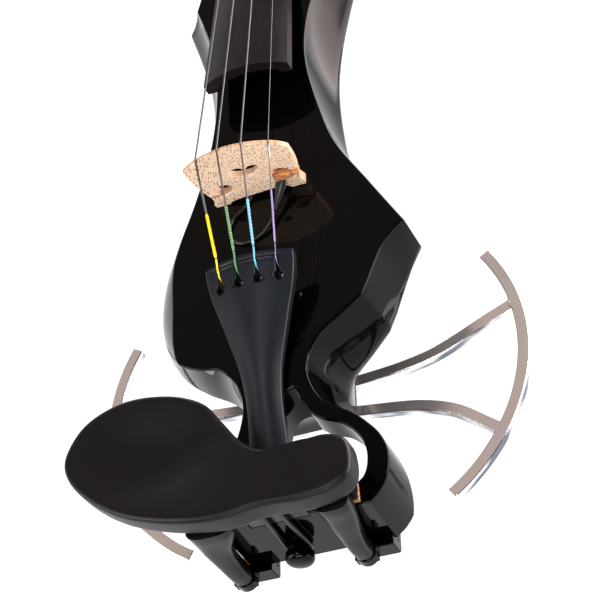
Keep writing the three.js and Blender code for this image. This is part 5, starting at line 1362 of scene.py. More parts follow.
    @staticmethod
    def _score(bm: Mesh, side: int, at: Vector, way: Vector) -> None:
        """Divides the large faces of the top or the back along a plane.

        Args:
            bm: The shape.
            side: One for the top and minus one for the back.
            at: Point on the plane.
            way: Direction across the plane.
        """
        large = [face for face in bm.faces if len(face.verts) > 20]
        faces = [face for face in large if (face.calc_center_median().z + 20) * side > 0]
        edges = {edge for face in faces for edge in face.edges}
        verts = {vert for face in faces for vert in face.verts}
        bmesh.ops.bisect_plane(bm, geom=[*verts, *edges, *faces], dist=1e-4, plane_co=at, plane_no=way)

    def _plan(self, shares: Sequence[Share], count: int, closed: bool = False) -> list[Vector]:
        """Smooth plan curve of the tail frame from shares."""
        return smooth([(x * self.half, y * LINE.lower) for x, y in shares], count, closed)

    def tail_frame(self) -> Mesh:
        """Spine and curved arm behind the body, with their window and the arch below.

        Returns:
            The closed shape.
        """
        outline = [*self._plan(self.outer, 110), *self._plan(self.outer_bass, 80)]
        ways = inward(outline)
        rings = self._lip(lambda _: outline, ways, LINE.slope)
        for inset in (0.0, 0.8):
            floor = -LINE.depth + 0.8 - inset
            rings.append([Vector((p.x + w.x * inset, p.y + w.y * inset, floor)) for p, w in zip(outline, ways)])
        hole = self._plan(self.opening, 150, True)
        window = [[Vector((p.x, p.y, -LINE.depth - 1)) for p in hole]]
        window += self._lip(lambda _: hole, [-way for way in inward(hole)], LINE.slope, swap=True)
        window.append([p + Vector((0, 0, 3)) for p in window[-1]])
        curve = smooth([(y * LINE.lower, z * LINE.depth) for y, z in self.arch], 60)
        return combine(loft(rings), [loft(window), slab(curve, -self.half, self.half, 0)], Join.CUT)

    def build(self) -> None:
        """Makes the body in one piece."""
        body = combine(self.shell(), [self.tail_frame()], Join.ADD)
        cuts = [*(block(*bay) for bay in self.bays), *(rod(*bore) for bore in self.bores), block(*self.saddle_seat)]
        body = combine(body, cuts, Join.CUT)
        bmesh.ops.dissolve_degenerate(body, dist=0.01, edges=body.edges)
        BENCH.piece("violin_body", "body", body, Palette.lacquer, Edges(sharp=34))


# ---- neck, board and pegs


def arched(y: float, half: float, low: float, steps: int, height: Callable[[float], float]) -> list[Vector]:
    """Ring with a flat underside and a curved top.

    Args:
        y: Its place.
        half: Half width.
        low: Height of the underside.
        steps: Number of steps across the top.
        height: Height of the top at a place across.

    Returns:
        The ring's points.
    """
    across = [mix(half, -half, i / steps) for i in range(steps + 1)]
    return [Vector((-half, y, low)), Vector((half, y, low)), *(Vector((x, y, height(x))) for x in across)]


def bellied(y: float, half: float, top: float, base: float, depth: float, powers: Share,
            angles: Iterable[float]) -> list[Vector]:
    """Ring with a flat top and an oval underside.

    Args:
        y: Its place.
        half: Half width.
        top: Height of the flat.
        base: Height where the oval starts.
        depth: Depth of the oval.
        powers: How full the oval is across and down.
        angles: Angles of its points.

    Returns:
        The ring's points.
    """
    places = [(bent(-math.cos(angle), powers[0]), math.sin(angle) ** powers[1]) for angle in angles]
    return [Vector((half, y, top)), Vector((-half, y, top)),
            *(Vector((x * half, y, base - down * depth)) for x, down in places)]


@dataclass
class NeckAssembly:
    """Neck with pegbox and scroll, fingerboard, nut and tuning pegs."""

    wide: float = 21.0
    narrow: float = 12.0
    side: Share = (5.6, 5.0)
    arch: float = 42.0
    hollow: Share = (16.5, 6.2, 79.0)
    depths: tuple = ((0, 27), (0.05, 26), (0.1, 22), (0.16, 18), (0.24, 16), (0.6, 14.5), (0.92, 13), (1, 14))
    pegbox: tuple = ((-0.05, 1, 14), (0.06, 1.01, 18.6), (0.25, 0.99, 21.5), (0.5, 0.94, 21.5), (0.78, 0.87, 20.5),
                     (1, 0.82, 19), (1.12, 0.8, 17.5))
    pegbox_length: float = 72.0
    pegbox_half: float = 12.2
    pegbox_fall: float = 0.27
    pegbox_round: float = 5.0
    cheek: float = 4.6
    peg_radius: float = 3.7
    peg_depth: float = 9.2
    peg_first: float = 17.0
    peg_step: float = 12.6
    nut_crown: float = -17.5

    def half(self, y: float) -> float:
        """Half width of the fingerboard at a place."""
        return mix(self.wide, self.narrow, (y - LINE.board_y) / LINE.board_length)

    @property
    def rim_y(self) -> float:
        """Place where the pegbox starts."""
        return LINE.board_end + LINE.nut_length + FIT + FIT

    def rim(self, y: float) -> float:
        """Height of the pegbox rim at a place."""
        return LINE.board(self.rim_y) - SEAT - self.pegbox_fall * (y - self.rim_y)

    def peg_place(self, index: int) -> Vector:
        """Point of a string's peg axis in the middle plane."""
        y = LINE.board_end + self.peg_first + (0, 2, 3, 1)[index] * self.peg_step
        return Vector((0, y, self.rim(y) - self.peg_depth))

    def board(self) -> None:
        """Makes the fingerboard with its hollowed free end."""
        rings = []
        for share in (k / 12 for k in range(13)):
            y = mix(LINE.board_y, LINE.board_end, share)
            half, low = self.half(y), LINE.board(y)
            high = low + mix(*self.side, share) + sag(self.arch, half)
            rings.append(arched(y, half, low, 28, lambda x: high - sag(self.arch, x)))
        half, rise, length = self.hollow
        scoop = []
        for share in (k / 8 for k in range(9)):
            y = LINE.board_y - 1 + share * (length + 1)
            low, wide = LINE.board(y), half * (1 - share / 4)
            tall = rise * math.sqrt(max(1 - share**2.2, 0.0)) + 0.05
            angles = [i * math.pi / 20 for i in range(21)]
            scoop.append([*(Vector((math.cos(a) * wide, y, low + math.sin(a) * tall)) for a in angles),
                          Vector((-wide, y, low - 2)), Vector((wide, y, low - 2))])
        board = combine(loft(rings), [loft(scoop)], Join.CUT)
        BENCH.piece("fingerboard_top", "fingerboard", board, Palette.ebony, Edges(0.5, 3, 50, 50))

    @staticmethod
    def _volute(centre: Vector, share: float, c: float, s: float) -> Vector:
        """Point of the scroll's strip.

        Args:
            centre: Point of the scroll's axis.
            share: Share of the way in.
            c: Cosine of the place round the strip.
            s: Its sine.

        Returns:
            The point.
        """
        angle = math.radians(200) - share * 2.1 * math.tau
        outer = 14.0 * (1 - share) ** 0.62 * 0.86 + 1.9
        thick, half = mix(9.0, 2.6, share**0.6), mix(9.6, 15.3, share**1.2)
        x = bent(s, 0.5) * half
        r = outer - thick / 2 + bent(c, 0.6) * thick / 2
        r -= 0.5 * (1 - abs(x) / half) * (1 if c > 0 else 0)
        return Vector((x, centre.y + math.cos(angle) * r, centre.z + math.sin(angle) * r))

    def _scroll(self) -> list[Mesh]:
        """Closed parts of the scroll, each less than a turn.

        Returns:
            The parts.
        """
        end = self.rim_y + self.pegbox_length
        centre = Vector((0, end + 7.7, self.rim(end) - 8.7))
        rings = [around(20, lambda c, s: self._volute(centre, k / 84, c, s)) for k in range(85)]
        return [loft(rings[k : k + 29]) for k in (0, 28, 56)]

    def _pegbox(self) -> tuple[Mesh, Mesh]:
        """Outside and hollow of the pegbox.

        Returns:
            The two closed shapes.
        """
        angles = [i * math.pi / 12 for i in range(13)]
        outer, inner = [], []
        for t in (mix(-0.05, 1.1, k / 24) for k in range(25)):
            y = self.rim_y + t * self.pegbox_length
            half = self.pegbox_half * blend_values(self.pegbox, t, 1)
            top = min(self.rim(y), LINE.board(y) - SEAT)
            floor = self.rim(y) - blend_values(self.pegbox, t, 2)
            outer.append(bellied(y, half, top, floor + self.pegbox_round, self.pegbox_round, (0.35, 0.5), angles))
            if 0.08 <= t <= 0.78:
                wide, high, low = half - self.cheek, top + 5, floor + self.cheek
                corners = ((wide, high), (-wide, high), (-wide, low), (wide, low))
                inner.append([Vector((x, y, z)) for x, z in corners])
        return loft(outer), loft(inner)

    def neck(self) -> None:
        """Makes the neck, heel, pegbox and scroll."""
        angles = [i * math.pi / 36 for i in range(1, 36)]
        rings = []
        for share in ((k / 48) ** 1.25 for k in range(49)):
            y = mix(LINE.upper + SEAT, self.rim_y, share)
            half, top = self.half(min(y, LINE.board_end)), LINE.board(y) - SEAT
            rings.append(bellied(y, half, top, top - FIT, blend_values(self.depths, share), (0.8, 0.8), angles))
        outside, hollow = self._pegbox()
        neck = combine(loft(rings), [outside, *self._scroll()], Join.ADD)
        reach = Vector((40, 0, 0))
        places = [self.peg_place(index) for index in range(len(STRINGS))]
        holes = [rod(self.peg_radius + FIT, place - reach, place + reach, 24) for place in places]
        neck = combine(neck, [hollow, *holes], Join.CUT)
        BENCH.piece("neck_and_scroll", "neck", neck, Palette.neck, Edges(sharp=38))

    def nut(self) -> None:
        """Makes the nut with its curved top."""
        start, stop = LINE.board_end + SEAT, LINE.board_end + LINE.nut_length
        rings = []
        for share in (k / 4 for k in range(5)):
            y = mix(start, stop, share)
            rings.append(arched(y, self.narrow, LINE.board(y), 24,
                                lambda x: self.nut_crown - sag(LINE.bridge_arch, x) - share**2))
        BENCH.piece("string_nut", "nut", loft(rings), Palette.bone, Edges(0.35, 3, 40))

    def peg(self, index: int) -> None:
        """Makes one tuning peg.

        Args:
            index: Number of its string from the bass side.
        """
        name = "peg_" + STRINGS[index]
        side = -1 if index < 2 else 1
        at, r = self.peg_place(index), self.peg_radius
        cheek = self.pegbox_half + FIT
        collar = cheek + 5.0
        profile = [
            (0, -cheek - 1), (r - 0.7, -cheek - 1), (r - 0.3, -cheek - 0.6), (r, cheek), (4.6, cheek + 0.3),
            (5.1, cheek + 0.8), (5.1, cheek + 1.6), (4.5, cheek + 1.9), (4.5, cheek + 2.3), (5.0, cheek + 2.8),
            (4.7, cheek + 3.6), (3.7, collar - 0.4), (2.9, collar), (2.4, collar + 0.9), (2.4, collar + 2),
            (2.8, collar + 4), (0, collar + 5),
        ]
        rings = []
        for u in (-math.cos(k / 24 * math.pi) for k in range(25)):
            belly = math.sqrt(max(1 - u * u, 0.0)) + 0.02
            wide = 7.9 * belly * (1.0 + 0.12 * u)
            thick = 3.0 * belly * (0.62 + 0.38 * abs(u) ** 1.5)
            x = at.x + side * (collar + 12.0 + u * 9.9)
            rings.append(around(28, lambda c, s: Vector((
                x, at.y + c * wide, at.z + s * thick * (1 - 0.32 * (1 - abs(c)) * belly)))))
        knob = turned([(0, 0), (0.9, 0.15), (1.2, 0.8), (0.9, 1.5), (0, 1.75)],
                      at + Vector((side * (collar + 21.4), 0, 0)), (side, 0, 0), 20)
        peg = combine(turned(profile, at, (side, 0, 0), 40), [loft(rings), knob], Join.ADD)
        BENCH.piece(name + "_turned", name, peg, Palette.pegwood, Edges(sharp=50), name)

    def build(self) -> None:
        """Makes every piece of the neck."""
        self.board()
        self.neck()
        self.nut()
        for index in range(len(STRINGS)):
            self.peg(index)


# ---- bridge and pickup


def seated(points: Iterable[Sequence[float]]) -> list[Share]:
    """Points in x and z measured from the bridge's feet, put on the body."""
    return [(p[0], p[1] + LINE.bridge_seat) for p in points]


@dataclass
class BridgeAndPickup:
    """Carved bridge, the pickup wedge in its eye and the pickup's lead."""

    foot: float = 21.4
    thick: float = 4.4
    edge: float = 1.6
    top: Share = (-25.4, 23.9)
    lead: float = 0.8
    under: tuple = ((-14.9, 0), (-14.4, 0.8), (-12.6, 1.5), (-9.0, 2.0), (0, 2.4), (9.0, 2.7), (12.6, 2.3),
                    (14.3, 1.1), (14.9, 0))
    flanks: tuple = (((2.9, 18.0), (1.6, 12.6), (0.3, 8.6), (-0.4, 5.2), (0.1, 3.4), (0.7, 1.6), (0.2, 0)),
                     ((0.2, 0), (0.7, 1.6), (0.1, 3.4), (-0.4, 5.2), (0.2, 8.6), (1.2, 12.6), (2.1, 18.0)))
    eyes: tuple = ((-13.6, 10.6, 4.3, 3.0), (14.2, 11.6, 4.2, 3.0))
    slots: tuple = (((-12.8, 7.4), (-14, 8.4), (-25, 7.1), (-25, 6.3)),
                    ((9.9, 10.8), (9.9, 5.7), (11, 5.6), (25, 8.8), (25, 10.2), (14, 12)))
    heart: tuple = ((-0.3, 16), (3, 16.4), (6.4, 18.6), (6.6, 20.4), (4.6, 21.4), (2, 21), (0.4, 19.6),
                    (-0.3, 20.4), (-1.6, 21.6), (-4.4, 22), (-7, 21), (-7.2, 19), (-4.4, 16.8))
    wedge: tuple = ((10.6, 6.1), (22.1, 8.8), (22.1, 9.9), (10.6, 10.5))

    def crown(self, x: float) -> float:
        """Height of the top edge over the feet, falling off beyond the outer strings."""
        beyond = max(abs(x) - 18.4, 0.0)
        return LINE.bridge_top(x) - LINE.bridge_seat - (0.055 if x > 0 else 0.0) * beyond * beyond

    def outline(self) -> list[Share]:
        """Front outline of the bridge.

        Returns:
            Its points in x and z.
        """
        (low, high), (bass, treble) = self.top, self.flanks
        left = smooth([(low, self.crown(low)), *((-self.foot - x, z) for x, z in bass)], 30)
        right = smooth([*((self.foot + x, z) for x, z in treble), (high, self.crown(high))], 30)
        crown = [(x, self.crown(x)) for x in (mix(high, low, i / 40) for i in range(1, 40))]
        return seated([*smooth(self.under, 40), *right, *crown, *left])

    def _cuts(self) -> list[Sequence[Sequence[float]]]:
        """Outlines of all that is cut from the bridge's face.

        Returns:
            The eyes with their slots, the heart and the string notches.
        """
        cuts = []
        for (x, z, half, rise), slot in zip(self.eyes, self.slots):
            height = z + LINE.bridge_seat
            cuts += [around(40, lambda c, s: Vector((x + c * half, height + s * rise))), seated(slot)]
        cuts.append(seated(smooth(self.heart, 80, True)))
        for index, radius in enumerate(STRING_RADII):
            x, half = string_x(index, LINE.string_spread), radius + 0.06
            z = LINE.bridge_top(x)
            cuts.append([(x - half, z + 2), (x - half, z - 0.1), (x, z - FIT), (x + half, z - 0.1), (x + half, z + 2)])
        return cuts

    def carved(self) -> None:
        """Makes the bridge."""
        body = slab(self.outline(), 0, self.thick)
        start = LINE.bridge_crown / 7
        way = Vector((0, 1, -(self.edge - self.thick) / (LINE.bridge_crown + 2 - start))).normalized()
        cut = bmesh.ops.bisect_plane(body, geom=[*body.verts, *body.edges, *body.faces], dist=1e-5,
                                     plane_co=(0, self.thick, start), plane_no=way, clear_outer=True)
        rim = [item for item in cut["geom_cut"] if isinstance(item, bmesh.types.BMEdge)]
        bmesh.ops.contextual_create(body, geom=rim)
        body = combine(body, [slab(cut, -1, self.thick + 1) for cut in self._cuts()], Join.CUT)
        BENCH.piece("carved_bridge", "bridge", body, Palette.maple, Edges(0.28, 3, 45, 50, False))

    def pickup(self) -> None:
        """Makes the wedge, the sleeve and the lead."""
        BENCH.piece("pickup_wedge", "piezo_wedge", slab(seated(self.wedge), -0.5, 3.47), Palette.wedge, Edges(0.2, 2))
        rings = []
        for i, point in enumerate(smooth([(12.2, -1.0, 6.9), (11.6, -3.2, 6.1), (9.6, -8, 4.4), (7.2, -13, 3.2)], 18)):
            wide = blend_values(((0, 2.8), (0.35, 2.6), (0.7, 1.4), (1, 0.85)), i / 18)
            tall = blend_values(((0, 1.1), (0.4, 1.2), (1, 0.85)), i / 18)
            rings.append(around(28, lambda c, s: point + Vector((c * wide, 0, s * tall))))
        BENCH.piece("shrunk_sleeve", "pickup_sleeve", loft(rings), Palette.lead, Edges(0.25, 2, 50, 50))
        low = self.lead + LINE.bridge_seat
        loop = smooth([(6.9, -13.8, low + 2), (5.2, -17.6, low + 1.4), (-0.4, -22.6, low), (-7.2, -24.8, low),
                       (-12.8, -22.4, low), (-15.4, -16.4, low), (-13.6, -10, low), (-8.6, -5.6, low),
                       (-5.6, -1.6, low), (-4.9, 3, low), (-4.9, 6.4, low + 0.15), (-5, 8.3, 0.9), (-5, 8.6, -1.6),
                       (-5, 8.6, -20)], 90)
        BENCH.piece("pickup_lead", "pickup_cable", tube(loop, self.lead), Palette.lead, Edges(sharp=60))

    def build(self) -> None:
        """Makes the bridge and the pickup."""
        self.carved()
        self.pickup()


# ---- tailpiece and strings


@dataclass
class TailAssembly:
    """Tailpiece, its gut, the saddle and the end button."""

    head_y: float = -46.0
    end_gap: float = 3.7
    saddle_long: float = 6.3
    head_z: float = 15.6
    drop: float = 20.8
    half: float = 20.4
    thick: float = 4.2
    crown: float = 4.6
    hole_y: float = -57.5
    spread: float = 26.6
    button_z: float = -34.6
    gut_x: float = 3.9
    gut_radius: float = 1.1
    widths: tuple = ((0, 1), (0.06, 0.985), (0.147, 0.907), (0.25, 0.76), (0.343, 0.637), (0.42, 0.53),
                     (0.5, 0.446), (0.62, 0.392), (0.784, 0.412), (0.95, 0.46), (1, 0.4))
    drops: tuple = ((0, 0), (0.628, 0.712), (0.784, 0.862), (1, 1))
    ridges: tuple = ((0.2, 1.3), (-0.25, 2.1), (0.2, 2.9), (-0.2, 3.7))

    @property
    def length(self) -> float:
        """Length of the tailpiece."""
        return LINE.lower + self.head_y - self.saddle_long - self.end_gap

    def arch(self, t: float) -> float:
        """Height of the crown over the side edge."""
        return mix(self.crown, self.crown * 0.55, t)

    def top(self, x: float, y: float) -> float:
        """Height of the upper face at a place.

        Args:
            x: Place across.
            y: Place along.

        Returns:
            The height.
        """
        t = (self.head_y - y) / self.length
        half = self.half * straight_values(self.widths, t)
        return self.head_z - self.drop * straight_values(self.drops, t) + self.arch(t) * (1 - x * x / (half * half))

    def _ring(self, t: float) -> list[Vector]:
        """Ring of the tailpiece.

        Args:
            t: Share of its length.

        Returns:
            The ring's points.
        """
        half, away = self.half * blend_values(self.widths, t), t * self.length
        y, arch = self.head_y - away, self.arch(t)
        spots = (t - 0.04, min(t + 0.04, 1)) if 0.05 <= t < 0.96 else (t, t)
        edge = self.head_z - self.drop * (sum(straight_values(self.drops, spot) for spot in spots) / 2)
        ridge = sum(size * math.exp(-(((away - place) / 0.4) ** 2)) for size, place in self.ridges)
        thick = self.thick * (1 - 0.5 * min(1.0, t * 1.3))
        upper = [Vector((u * half, y, edge + (arch + ridge) * (1 - u * u)))
                 for u in (mix(1, -1, i / 24) for i in range(25))]
        return upper + [Vector((u * half, y, edge - thick + arch * (1 - u * u) * (1 - t) * 0.8))
                        for u in (mix(-1, 1, i / 24) for i in range(25))]

    def tailpiece(self) -> None:
        """Makes the tailpiece with its ridge and keyholes."""
        low, end = self.head_z - self.drop, self.head_y - self.length
        holes = []
        for x in (string_x(index, self.spread) for index in range(len(STRINGS))):
            holes += [rod(2.1, (x, self.hole_y, low), (x, self.hole_y, 40), 28),
                      block((x - 0.65, self.hole_y, low), (x + 0.65, self.hole_y + 8, 40))]
        for x in (side.value * self.gut_x for side in Side):
            holes.append(rod(1.2, (x, end - 1, low - SEAT), (x, end + 4.4, low - SEAT), 20))
        body = combine(loft([self._ring((k / 96) ** 1.6) for k in range(97)]), holes, Join.CUT)
        BENCH.piece("tailpiece_shell", "tailpiece", body, Palette.tail, Edges(0.45, 3, 40, 45, False))

    def saddle(self) -> None:
        """Makes the saddle."""
        y0, y1 = -LINE.lower, -LINE.lower + self.saddle_long
        profile = [(y0, -14), (y1, -14), (y1, -6.4), (y1 - 2.4, -4.5), (y0 + 2.4, -4), (y0 + 0.8, -4.4), (y0, -5.4)]
        BENCH.piece("tail_saddle", "saddle", slab(profile, -13, 13, 0), Palette.pegwood, Edges(0.6, 4, 25))

    def button(self) -> None:
        """Makes the end button."""
        gap, head = 3.3, 6.4
        profile = [(0, -14), (3.1, -14), (3.4, -13.6), (3.4, gap - 0.3), (3.7, gap), (4.8, gap), (5.6, gap + 0.4),
                   (6.1, gap + 1.1), (6.2, gap + 2.2), (6.2, gap + 3.6), (5.9, gap + 4.6), (5.2, gap + 5.5),
                   (4.0, gap + 6.1), (2.4, gap + head), (0, gap + head + 0.15)]
        button = turned(profile, (0, -LINE.lower, self.button_z), (0, -1, 0), 64)
        BENCH.piece("tail_button", "end_button", button, Palette.lacquer, Edges(sharp=60))

    def gut(self) -> None:
        """Makes the cord that holds the tailpiece."""
        x, edge, end = -self.gut_x, -LINE.lower, self.head_y - self.length
        y, top, start = edge - 1.65, -4 + self.gut_radius + SEAT, self.head_z - self.drop - SEAT
        reach = 3.4 + self.gut_radius + SEAT
        half = [(x, end + 3.3, start), (x, end - 1, start), (x, edge + 4.8, top - 0.15), (x, edge + 2.4, top + 0.05),
                (x, edge - 0.4, top - 0.5), (x, y + 0.2, top - 2.2), (x, y, top - 4.6), (-reach, y, self.button_z + 3)]
        angles = [math.pi + i * math.pi / 8 for i in range(9)]
        bend = [(math.cos(angle) * reach, y, self.button_z + math.sin(angle) * reach) for angle in angles]
        path = smooth([*half, *bend, *((-a, b, c) for a, b, c in reversed(half))], 150)
        BENCH.piece("tail_gut", "tailgut", tube(path, self.gut_radius), Palette.lead, Edges(sharp=60))

    def build(self) -> None:
        """Makes the pieces at the tail."""
        self.tailpiece()
        self.saddle()
        self.button()
        self.gut()


@dataclass
class StringSet:
    """Four strings with their silk windings and the clear tube of the thinnest."""

    tail: TailAssembly
    neck: NeckAssembly
    key_length: float = 8.0
    nut_spread: float = 16.5
    silk_wall: float = 0.21
    wraps: Share = (-4.6, -1.8, 1.8, 4.6)

    def _turns(self, index: int) -> list[Vector]:
        """Turns of a string round its peg.

        Args:
            index: Number of the string from the bass side.

        Returns:
            Their points.
        """
        peg, start = self.neck.peg_place(index), self.wraps[index]
        wrap, away = self.neck.peg_radius + SEAT + STRING_RADII[index], math.copysign(1, start)
        places = [(share, math.pi / 2 - share * 1.25 * math.tau + 0.35) for share in (k / 42 for k in range(43))]
        return [Vector((start - away * share * 2.0, peg.y + math.cos(angle) * wrap, peg.z + math.sin(angle) * wrap))
                for share, angle in places]

    def _path(self, index: int) -> tuple[list[Vector], Vector, Vector]:
        """Route of a string.

        Args:
            index: Number of the string from the bass side.

        Returns:
            The route, its point at the bridge and its point at the ridge.
        """
        r, tail = STRING_RADII[index], self.tail
        spreads = (LINE.string_spread, tail.spread, self.nut_spread)
        xb, xt, xn = (string_x(index, spread) for spread in spreads)
        rest = Vector((xb, 0.8, LINE.bridge_top(xb) + r))
        head, lift, low_y = tail.head_y, r + SEAT, tail.head_y - 3
        ridge_x = xb + (xt - xb) * low_y / (tail.hole_y + 4)
        ridge = Vector((ridge_x, head + 1, tail.top(ridge_x, head) + lift + 0.25))
        ridge_low = Vector((xt, low_y - 0.4, tail.top(xt, low_y) + lift + 0.2))
        y = tail.hole_y + self.key_length / 2
        slot = [Vector((xt, y, tail.top(xt, y) - tail.thick - 3)), Vector((xt, y + 1.4, tail.top(xt, y + 1.4) - 0.5))]
        nut = self.neck.nut_crown - sag(LINE.bridge_arch, xn)
        nut_in = Vector((xn, LINE.board_end + SEAT + 0.2, nut + r + SEAT))
        nut_out = Vector((xn, LINE.board_end + LINE.nut_length - 0.2, nut - 0.7 + r + SEAT))
        return [*slot, ridge_low, ridge, rest, nut_in, nut_out, *self._turns(index)], rest, ridge

    def build(self) -> None:
        """Makes the strings and what is wound on them."""
        for index, name in enumerate(STRINGS):
            r, finish, count = STRING_RADII[index], Palette.silk[name], 40
            path, rest, ridge = self._path(index)
            BENCH.piece(f"string_{name}_wire", "string_" + name, tube(path, r, 14), Palette.wire[name], Edges(sharp=70))
            way = (ridge - rest) / abs(ridge.y - rest.y)
            start, stop = rest + way * 10, ridge - way * 1.5
            points = [start.lerp(stop, i / count) for i in range(count + 1)]
            bare = finish.bare * count / (stop - start).length
            sizes = [r + self.silk_wall * (1 if bare < i < count else 0.2) for i in range(count + 1)]
            BENCH.piece(f"silk_{name}_thread", "silk_" + name, tube(points, sizes, 14), finish, Edges(sharp=70))
            if name == "e":
                points = [(rest + way * 1.1).lerp(rest + way * 7.0, i / 12) for i in range(13)]
                sleeve = tube(points, [mix(0.85, 0.5, i / 12) for i in range(13)], 20)
                BENCH.piece("string_tube_e", "string_sleeve_e", sleeve, Palette.clear, Edges(sharp=60))
        BENCH.dress(Palette.steel, *("ball_" + name for name in STRINGS))


# ---- chinrest


@dataclass
class Chinrest:
    """Chinrest plate with its pads, clamp legs, feet and screws."""

    span: float = 128.0
    wide: float = 72.0
    middle_y: float = -133.0
    under: float = 4.0
    heights: Share = (11.5, 17.5)
    cup: float = 7.0
    pads: Share = (-21.5, 29.5)
    pad_y: float = -153.6
    leg_y: float = -163.4
    leg_floor: float = -41.5
    outline: tuple = (
        (0.326, -0.236), (0.306, -0.139), (0.25, -0.088), (0.125, -0.094), (0.034, -0.09), (-0.045, 0.007),
        (-0.124, 0.194), (-0.191, 0.347), (-0.318, 0.458), (-0.486, 0.479), (-0.617, 0.368), (-0.677, 0.16),
        (-0.663, 0.028), (-0.588, -0.146), (-0.452, -0.325), (-0.245, -0.458), (-0.102, -0.49), (0.027, -0.465),
        (0.172, -0.479), (0.268, -0.451), (0.32, -0.382),
    )
    hub: Share = (-0.195, -0.208)
    dip: Share = (-0.33, 0.07, 0.2, 0.3)
    under_rows: tuple = ((3.2, 0.0), (1.9, 0.25), (0.9, 0.9), (0.3, 1.8), (0.0, 3.0))
    edge_rows: tuple = ((0.0, 2.6, 4.0), (0.18, 1.7, 4.2), (0.6, 0.95, 4.5), (1.3, 0.4, 4.9), (2.3, 0.08, 5.2),
                        (3.4, 0.0, 5.4))
    top_shares: Share = (0.86, 0.8, 0.73, 0.66, 0.58, 0.5, 0.42, 0.34, 0.26, 0.18, 0.1, 0.04)
    bass_leg: tuple = ((0, -24, 10, 1.1), (0.1, -24.2, 9.6, 1.1), (0.24, -25.6, 8.2, 1), (0.4, -27.6, 6.4, 0.95),
                       (0.6, -28.5, 5, 0.95), (0.85, -28.7, 4.3, 1), (1, -28.7, 4.1, 0.95))
    treble_leg: tuple = ((0, 28.6, 7.2, 1.1), (0.1, 28.6, 7, 1.1), (0.24, 28.2, 6.6, 1), (0.4, 27.4, 6, 0.98),
                         (0.6, 26.4, 5, 0.95), (0.85, 25.5, 4.2, 1), (1, 25.5, 4, 0.95))

    def surface(self, x: float, y: float) -> float:
        """Height of the plate's upper face.

        Args:
            x: Place across.
            y: Place along.

        Returns:
            The height.
        """
        rise = mix(*self.heights, (self.middle_y + self.wide / 2 - y) / self.wide)
        u = (x - self.dip[0] * self.span) / (self.dip[2] * self.span)
        v = (y - self.middle_y - self.dip[1] * self.wide) / (self.dip[3] * self.wide)
        return rise - self.cup * math.exp(-u * u - v * v)

    def plate(self) -> None:
        """Makes the plate with its rounded rim and its cup."""
        rim = smooth([(x * self.span, self.middle_y + y * self.wide) for x, y in self.outline], 240, True)
        ways = inward(rim)
        hub = Vector((self.hub[0] * self.span, self.middle_y + self.hub[1] * self.wide, 0))

        def ring(places: Iterable[Vector], height: Callable[[float, float], float]) -> list[Vector]:
            """Ring over places, from the height at each."""
            return [Vector((p.x, p.y, height(p.x, p.y))) for p in places]

        def inside(inset: float) -> list[Vector]:
            """Places at a distance inside the rim."""
            return [p + w * inset for p, w in zip(rim, ways)]

        rings = [ring(inside(inset), lambda x, y: self.under + lift) for inset, lift in self.under_rows]
        rings += [ring(inside(inset), lambda x, y: max(self.under + least, self.surface(x, y) - sink))
                  for inset, sink, least in self.edge_rows]
        rings += [ring([hub.lerp(p, share) for p in rim], self.surface) for share in self.top_shares]
        pads = [block((x - 5.5, self.pad_y - 3.8, LINE.slope(x, self.pad_y) + 2),
                      (x + 5.5, self.pad_y + 3.8, self.under + 1)) for x in self.pads]
        body = combine(loft(rings), pads, Join.ADD)
        BENCH.piece("chinrest_shell", "chinrest_plate", body, Palette.rest, Edges(sharp=50))

    def leg(self, side: Side, rows: Sequence[Share]) -> None:
        """Makes one clamp leg.

        Args:
            side: Side of the instrument.
            rows: Height share, middle, half width and thickness share of each level.
        """
        top = self.under - SEAT
        span = top - self.leg_floor
        rings = []
        for t in (k / 40 for k in range(41)):
            middle, half, thick = (blend_values(rows, t, column) for column in (1, 2, 3))
            rings.append(around(40, lambda c, s: Vector((
                middle + bent(c, 0.7) * half, self.leg_y + bent(s, 0.7) * 4.6 * thick, top - t * span))))
        x = rows[-1][1]
        bore = rod(2.1, (x, self.leg_y, self.leg_floor - 1), (x, self.leg_y, self.leg_floor + 15))
        BENCH.piece("clamp_post_" + side.word, "clamp_leg_" + side.word, combine(loft(rings), [bore], Join.CUT),
                    Palette.leg, Edges(sharp=50))

    def foot(self, side: Side, x: float) -> None:
        """Makes one hooked foot.

        Args:
            side: Side of the instrument.
            x: Its place across.
        """
        name = "clamp_foot_" + side.word
        y, top, back = self.leg_y, self.leg_floor - 1, -LINE.lower
        low, hook = top - 5, -LINE.depth - 1.6 - 2 * SEAT
        floor = hook - 3.8
        plate = block((x - 4.8, -166.6, low), (x + 4.8, back, top))
        shape = [(back - 4.6, floor + 1.2), (back - 3.4, floor), (-150.7, floor), (-149.5, floor + 1.2),
                 (-149.5, hook), (back - 0.2, hook), (back - 0.2, top), (back - 4.6, top)]
        body = combine(rod(4.8, (x, y, low), (x, y, top), 48), [plate, slab(shape, x - 4.9, x + 12.6, 0)], Join.ADD)
        holes = [rod(2.1, (x, y, low - 1), (x, y, top + 1)), rod(3.5, (x, y, low - 4), (x, y, low + 2.4))]
        body = combine(body, holes, Join.CUT)
        BENCH.piece(name + "_cast", name, body, Palette.lacquer, Edges(0.5, 3, 40, 45, False), name)

    def build(self) -> None:
        """Makes the chinrest and its clamps."""
        self.plate()
        legs = list(zip(Side, (self.bass_leg, self.treble_leg)))
        for side, rows in legs:
            self.leg(side, rows)
        for side, rows in legs:
            self.foot(side, rows[-1][1])
        BENCH.dress(Palette.cork, *(kind + side.word for kind in ("chinrest_cork_", "foot_cork_") for side in Side))
        BENCH.dress(Palette.steel, *("clamp_screw_" + side.word for side in Side))


# ---- wings


